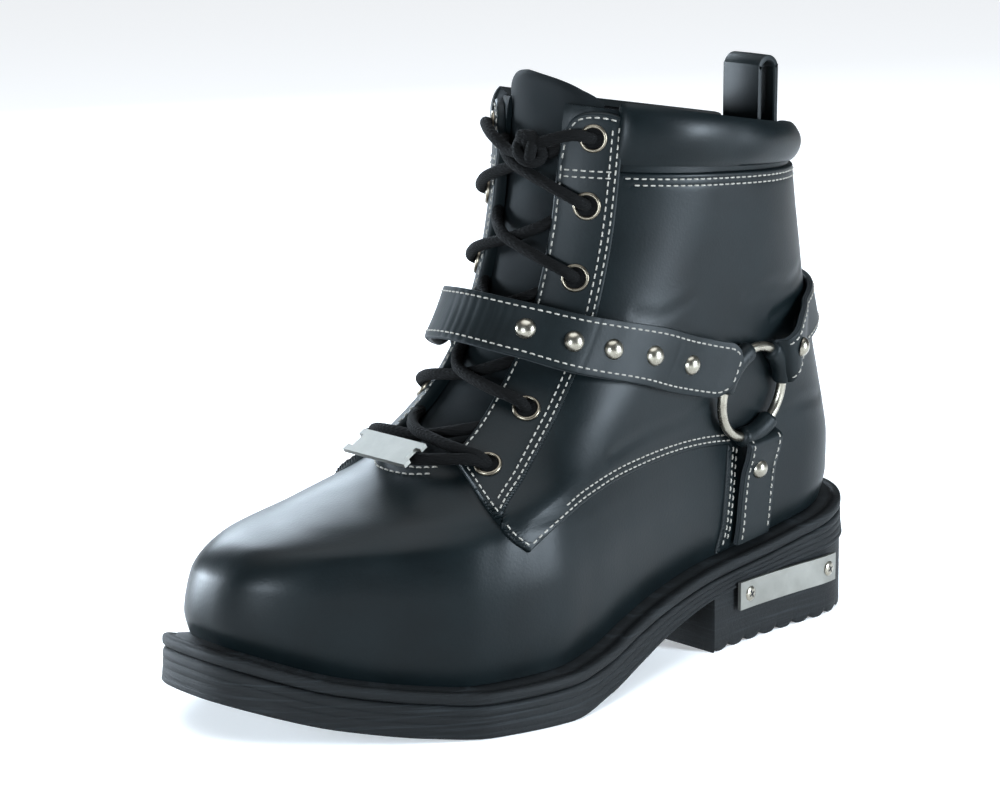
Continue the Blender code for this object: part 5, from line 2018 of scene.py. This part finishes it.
@dataclass
class Studio:
    """Pale floor, soft lights and a camera at the photograph's angle."""

    target: tuple = (150.0, 0.0, 90.0)
    distance: float = 1200.0
    turn: float = 43.3
    elevation: float = 13.15
    lens: float = 114.0
    shift: tuple[float, float] = (-0.0451, 0.0288)
    # Soft boxes: name, place and size in metres, and watts
    boxes: tuple = (
        ("top", (0.0, 0.1, 1.5), (1.2, 1.2), 11.0),
        ("toe", (0.66, -1.15, 0.16), (0.42, 0.28), 34.0),
        ("front", (1.25, 0.50, 0.26), (0.36, 0.30), 22.0),
        ("heel", (-0.62, 1.25, 0.34), (0.36, 0.6), 44.0),
        ("medial", (-0.4, -1.3, 0.7), (0.6, 0.6), 20.0))
    box_colour: str = "dfeefb"
    ceiling: tuple[float, float] = (1.5, 70.0)
    world: tuple[str, float] = ("e9f0f8", 0.15)
    floor_half: float = 15.0

    def build(self) -> None:
        """Make the camera, the floor, the world and the lights."""
        scene = bpy.context.scene
        target = Vector((np.array(self.target) - ORIGIN) * MM)
        scene.camera = self.camera(target)
        self.floor()
        colour, strength = self.world
        scene.world = bpy.data.worlds.new("studio")
        scene.world.use_nodes = True
        background = scene.world.node_tree.nodes["Background"]
        background.inputs["Color"].default_value = linear(colour)
        background.inputs["Strength"].default_value = strength
        scene.view_settings.view_transform = "Standard"
        for box in self.boxes:
            self.light(*box, target)
        sky = bpy.data.lights.new("ceiling", "SUN")
        sky.energy = self.ceiling[0]
        sky.angle = math.radians(self.ceiling[1])
        scene.collection.objects.link(bpy.data.objects.new("ceiling", sky))

    def camera(self, target: Vector) -> bpy.types.Object:
        """A camera at the photograph's angle.

        Args:
            target: the point that it faces.

        Returns:
            The camera.
        """
        turn, lean = math.radians(self.turn), math.radians(self.elevation)
        view = np.array([math.sin(turn) * math.cos(lean), math.cos(turn) * math.cos(lean), math.sin(lean)])
        camera = bpy.data.cameras.new("camera")
        camera.lens = self.lens
        camera.shift_x, camera.shift_y = self.shift
        camera.clip_end = 20.0
        eye = bpy.data.objects.new("camera", camera)
        eye.location = target + Vector(view * self.distance * MM)
        eye.rotation_euler = (target - eye.location).to_track_quat("-Z", "Y").to_euler()
        bpy.context.scene.collection.objects.link(eye)
        return eye

    def light(self, name: str, place: Sequence[float], size: tuple[float, float], power: float,
              target: Vector) -> None:
        """A soft box aimed at the boot.

        Args:
            name: the light's name.
            place: its place in metres.
            size: width and height in metres.
            power: watts.
            target: the point that it faces.
        """
        lamp = bpy.data.lights.new(name, "AREA")
        lamp.shape = "RECTANGLE"
        lamp.size, lamp.size_y = size
        lamp.energy = power
        lamp.color = linear(self.box_colour)[:3]
        box = bpy.data.objects.new(name, lamp)
        box.location = place
        box.rotation_euler = (target - Vector(place)).to_track_quat("-Z", "Y").to_euler()
        bpy.context.scene.collection.objects.link(box)

    def floor(self) -> None:
        """A wide pale paper floor that glows a little, so that it stays near white far from the lights."""
        half = self.floor_half
        corners = [(-half, -half, 0), (half, -half, 0), (half, half, 0), (-half, half, 0)]
        mesh = bpy.data.meshes.new("floor")
        mesh.from_pydata(corners, [], [(0, 1, 2, 3)])
        mesh.materials.append(Finish("floor_paper", "f3f4f5", 0.75, glow=0.34).make())
        floor = bpy.data.objects.new("floor", mesh)
        bpy.context.scene.collection.objects.link(floor)


def dress_nodes(finishes: dict[str, bpy.types.Material]) -> None:
    """Give the CAD nodes that stay their finish.

    Args:
        finishes: node name to material.
    """
    for name, material in finishes.items():
        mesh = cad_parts[name].data
        mesh.materials.clear()
        mesh.materials.append(material)


def main() -> None:
    """Build every sub-assembly in order."""
    logging.basicConfig(level=logging.INFO, format="%(message)s")
    # Upper: near black, with a wide soft shine that shows its bulges
    leather = GrainedLeather("waxed_cowhide", "030607", 0.38, specular=0.13).make()
    # Straps and eyestays: a little greyer and duller, so that they stand off the upper
    strap_leather = GrainedLeather("strap_cowhide", "070b0c", 0.46, specular=0.14, grain_mm=1.1).make()
    # Cut edges: dry and grey, which draws each strap's outline
    raw_edge = GrainedLeather("cut_leather_edge", "15181a", 0.85, specular=0.2, grain_mm=0.7,
                              tone="2a2e30").make()
    # Tongue: soft and without shine, so that the laces stand out
    soft = GrainedLeather("nappa_tongue", "030304", 0.75, specular=0.12, grain_mm=1.3).make()
    # Sole: dusty, with lengthwise scratches
    rubber = MouldedRubber("buffed_rubber", "060809", 0.62, specular=0.16).make()
    # Lining and zip tape: flat black
    cloth = WovenCloth("lining_cloth", "050506", 0.9, specular=0.12).make()
    # Lace: black, with a braid that breaks up its edge
    cord = WovenCloth("braided_cord", "040404", 0.9, specular=0.12, thread_mm=1.0).make()
    # Studs, rings and zip: warm and bright, with sharp reflections
    nickel = PlatedMetal("nickel_plate", "a8a294", 0.26, metallic=1.0).make()
    # Heel plate and charm: even grey metal with blurred reflections
    plate = PlatedMetal("brushed_nickel", "8b8a84", 0.40, metallic=1.0, mark_mm=9.0, dark="64635e").make()
    # Eyelets: old brass, dark in patches
    brass = PlatedMetal("antique_brass", "8a8172", 0.30, metallic=1.0, dark="3a342b").make()
    # Screw slots: painted shade, a dark metal for the shade in the recessed cross, so that the cross reads
    # from afar
    dark = Finish("slot_shadow", "26262a", 0.6, metallic=1.0).make()
    # Stitches: pale grey, the boot's drawn lines
    thread = TwistedThread("bonded_thread", "858179", 0.75)
    Studio().build()
    upper = Upper()
    upper.build(leather, cloth)
    quarter_stitches = Stitching("quarter_stitches", thread)
    for panel in upper.panels():
        panel.build(strap_leather if "eyestay" in panel.name else leather, quarter_stitches)
    upper.loose_rows(quarter_stitches)
    quarter_stitches.build()
    Collar().build(leather)
    Tongue().build(soft)
    harness_stitches = Stitching("harness_stitches", thread)
    Harness().build(strap_leather, raw_edge, nickel, harness_stitches)
    PullLoop().build(strap_leather, harness_stitches)
    harness_stitches.build()
    Lacing().build(brass, cord)
    Zip().build(cloth, nickel)
    Sole().build(rubber)
    HeelPlate().build(nickel, dark)
    dress_nodes({"insole": cloth, "heel_plate": plate, "lace_charm": plate, "zip_slider": nickel,
                 "zip_pull_tab": nickel})


if __name__ == "__main__":
    main()
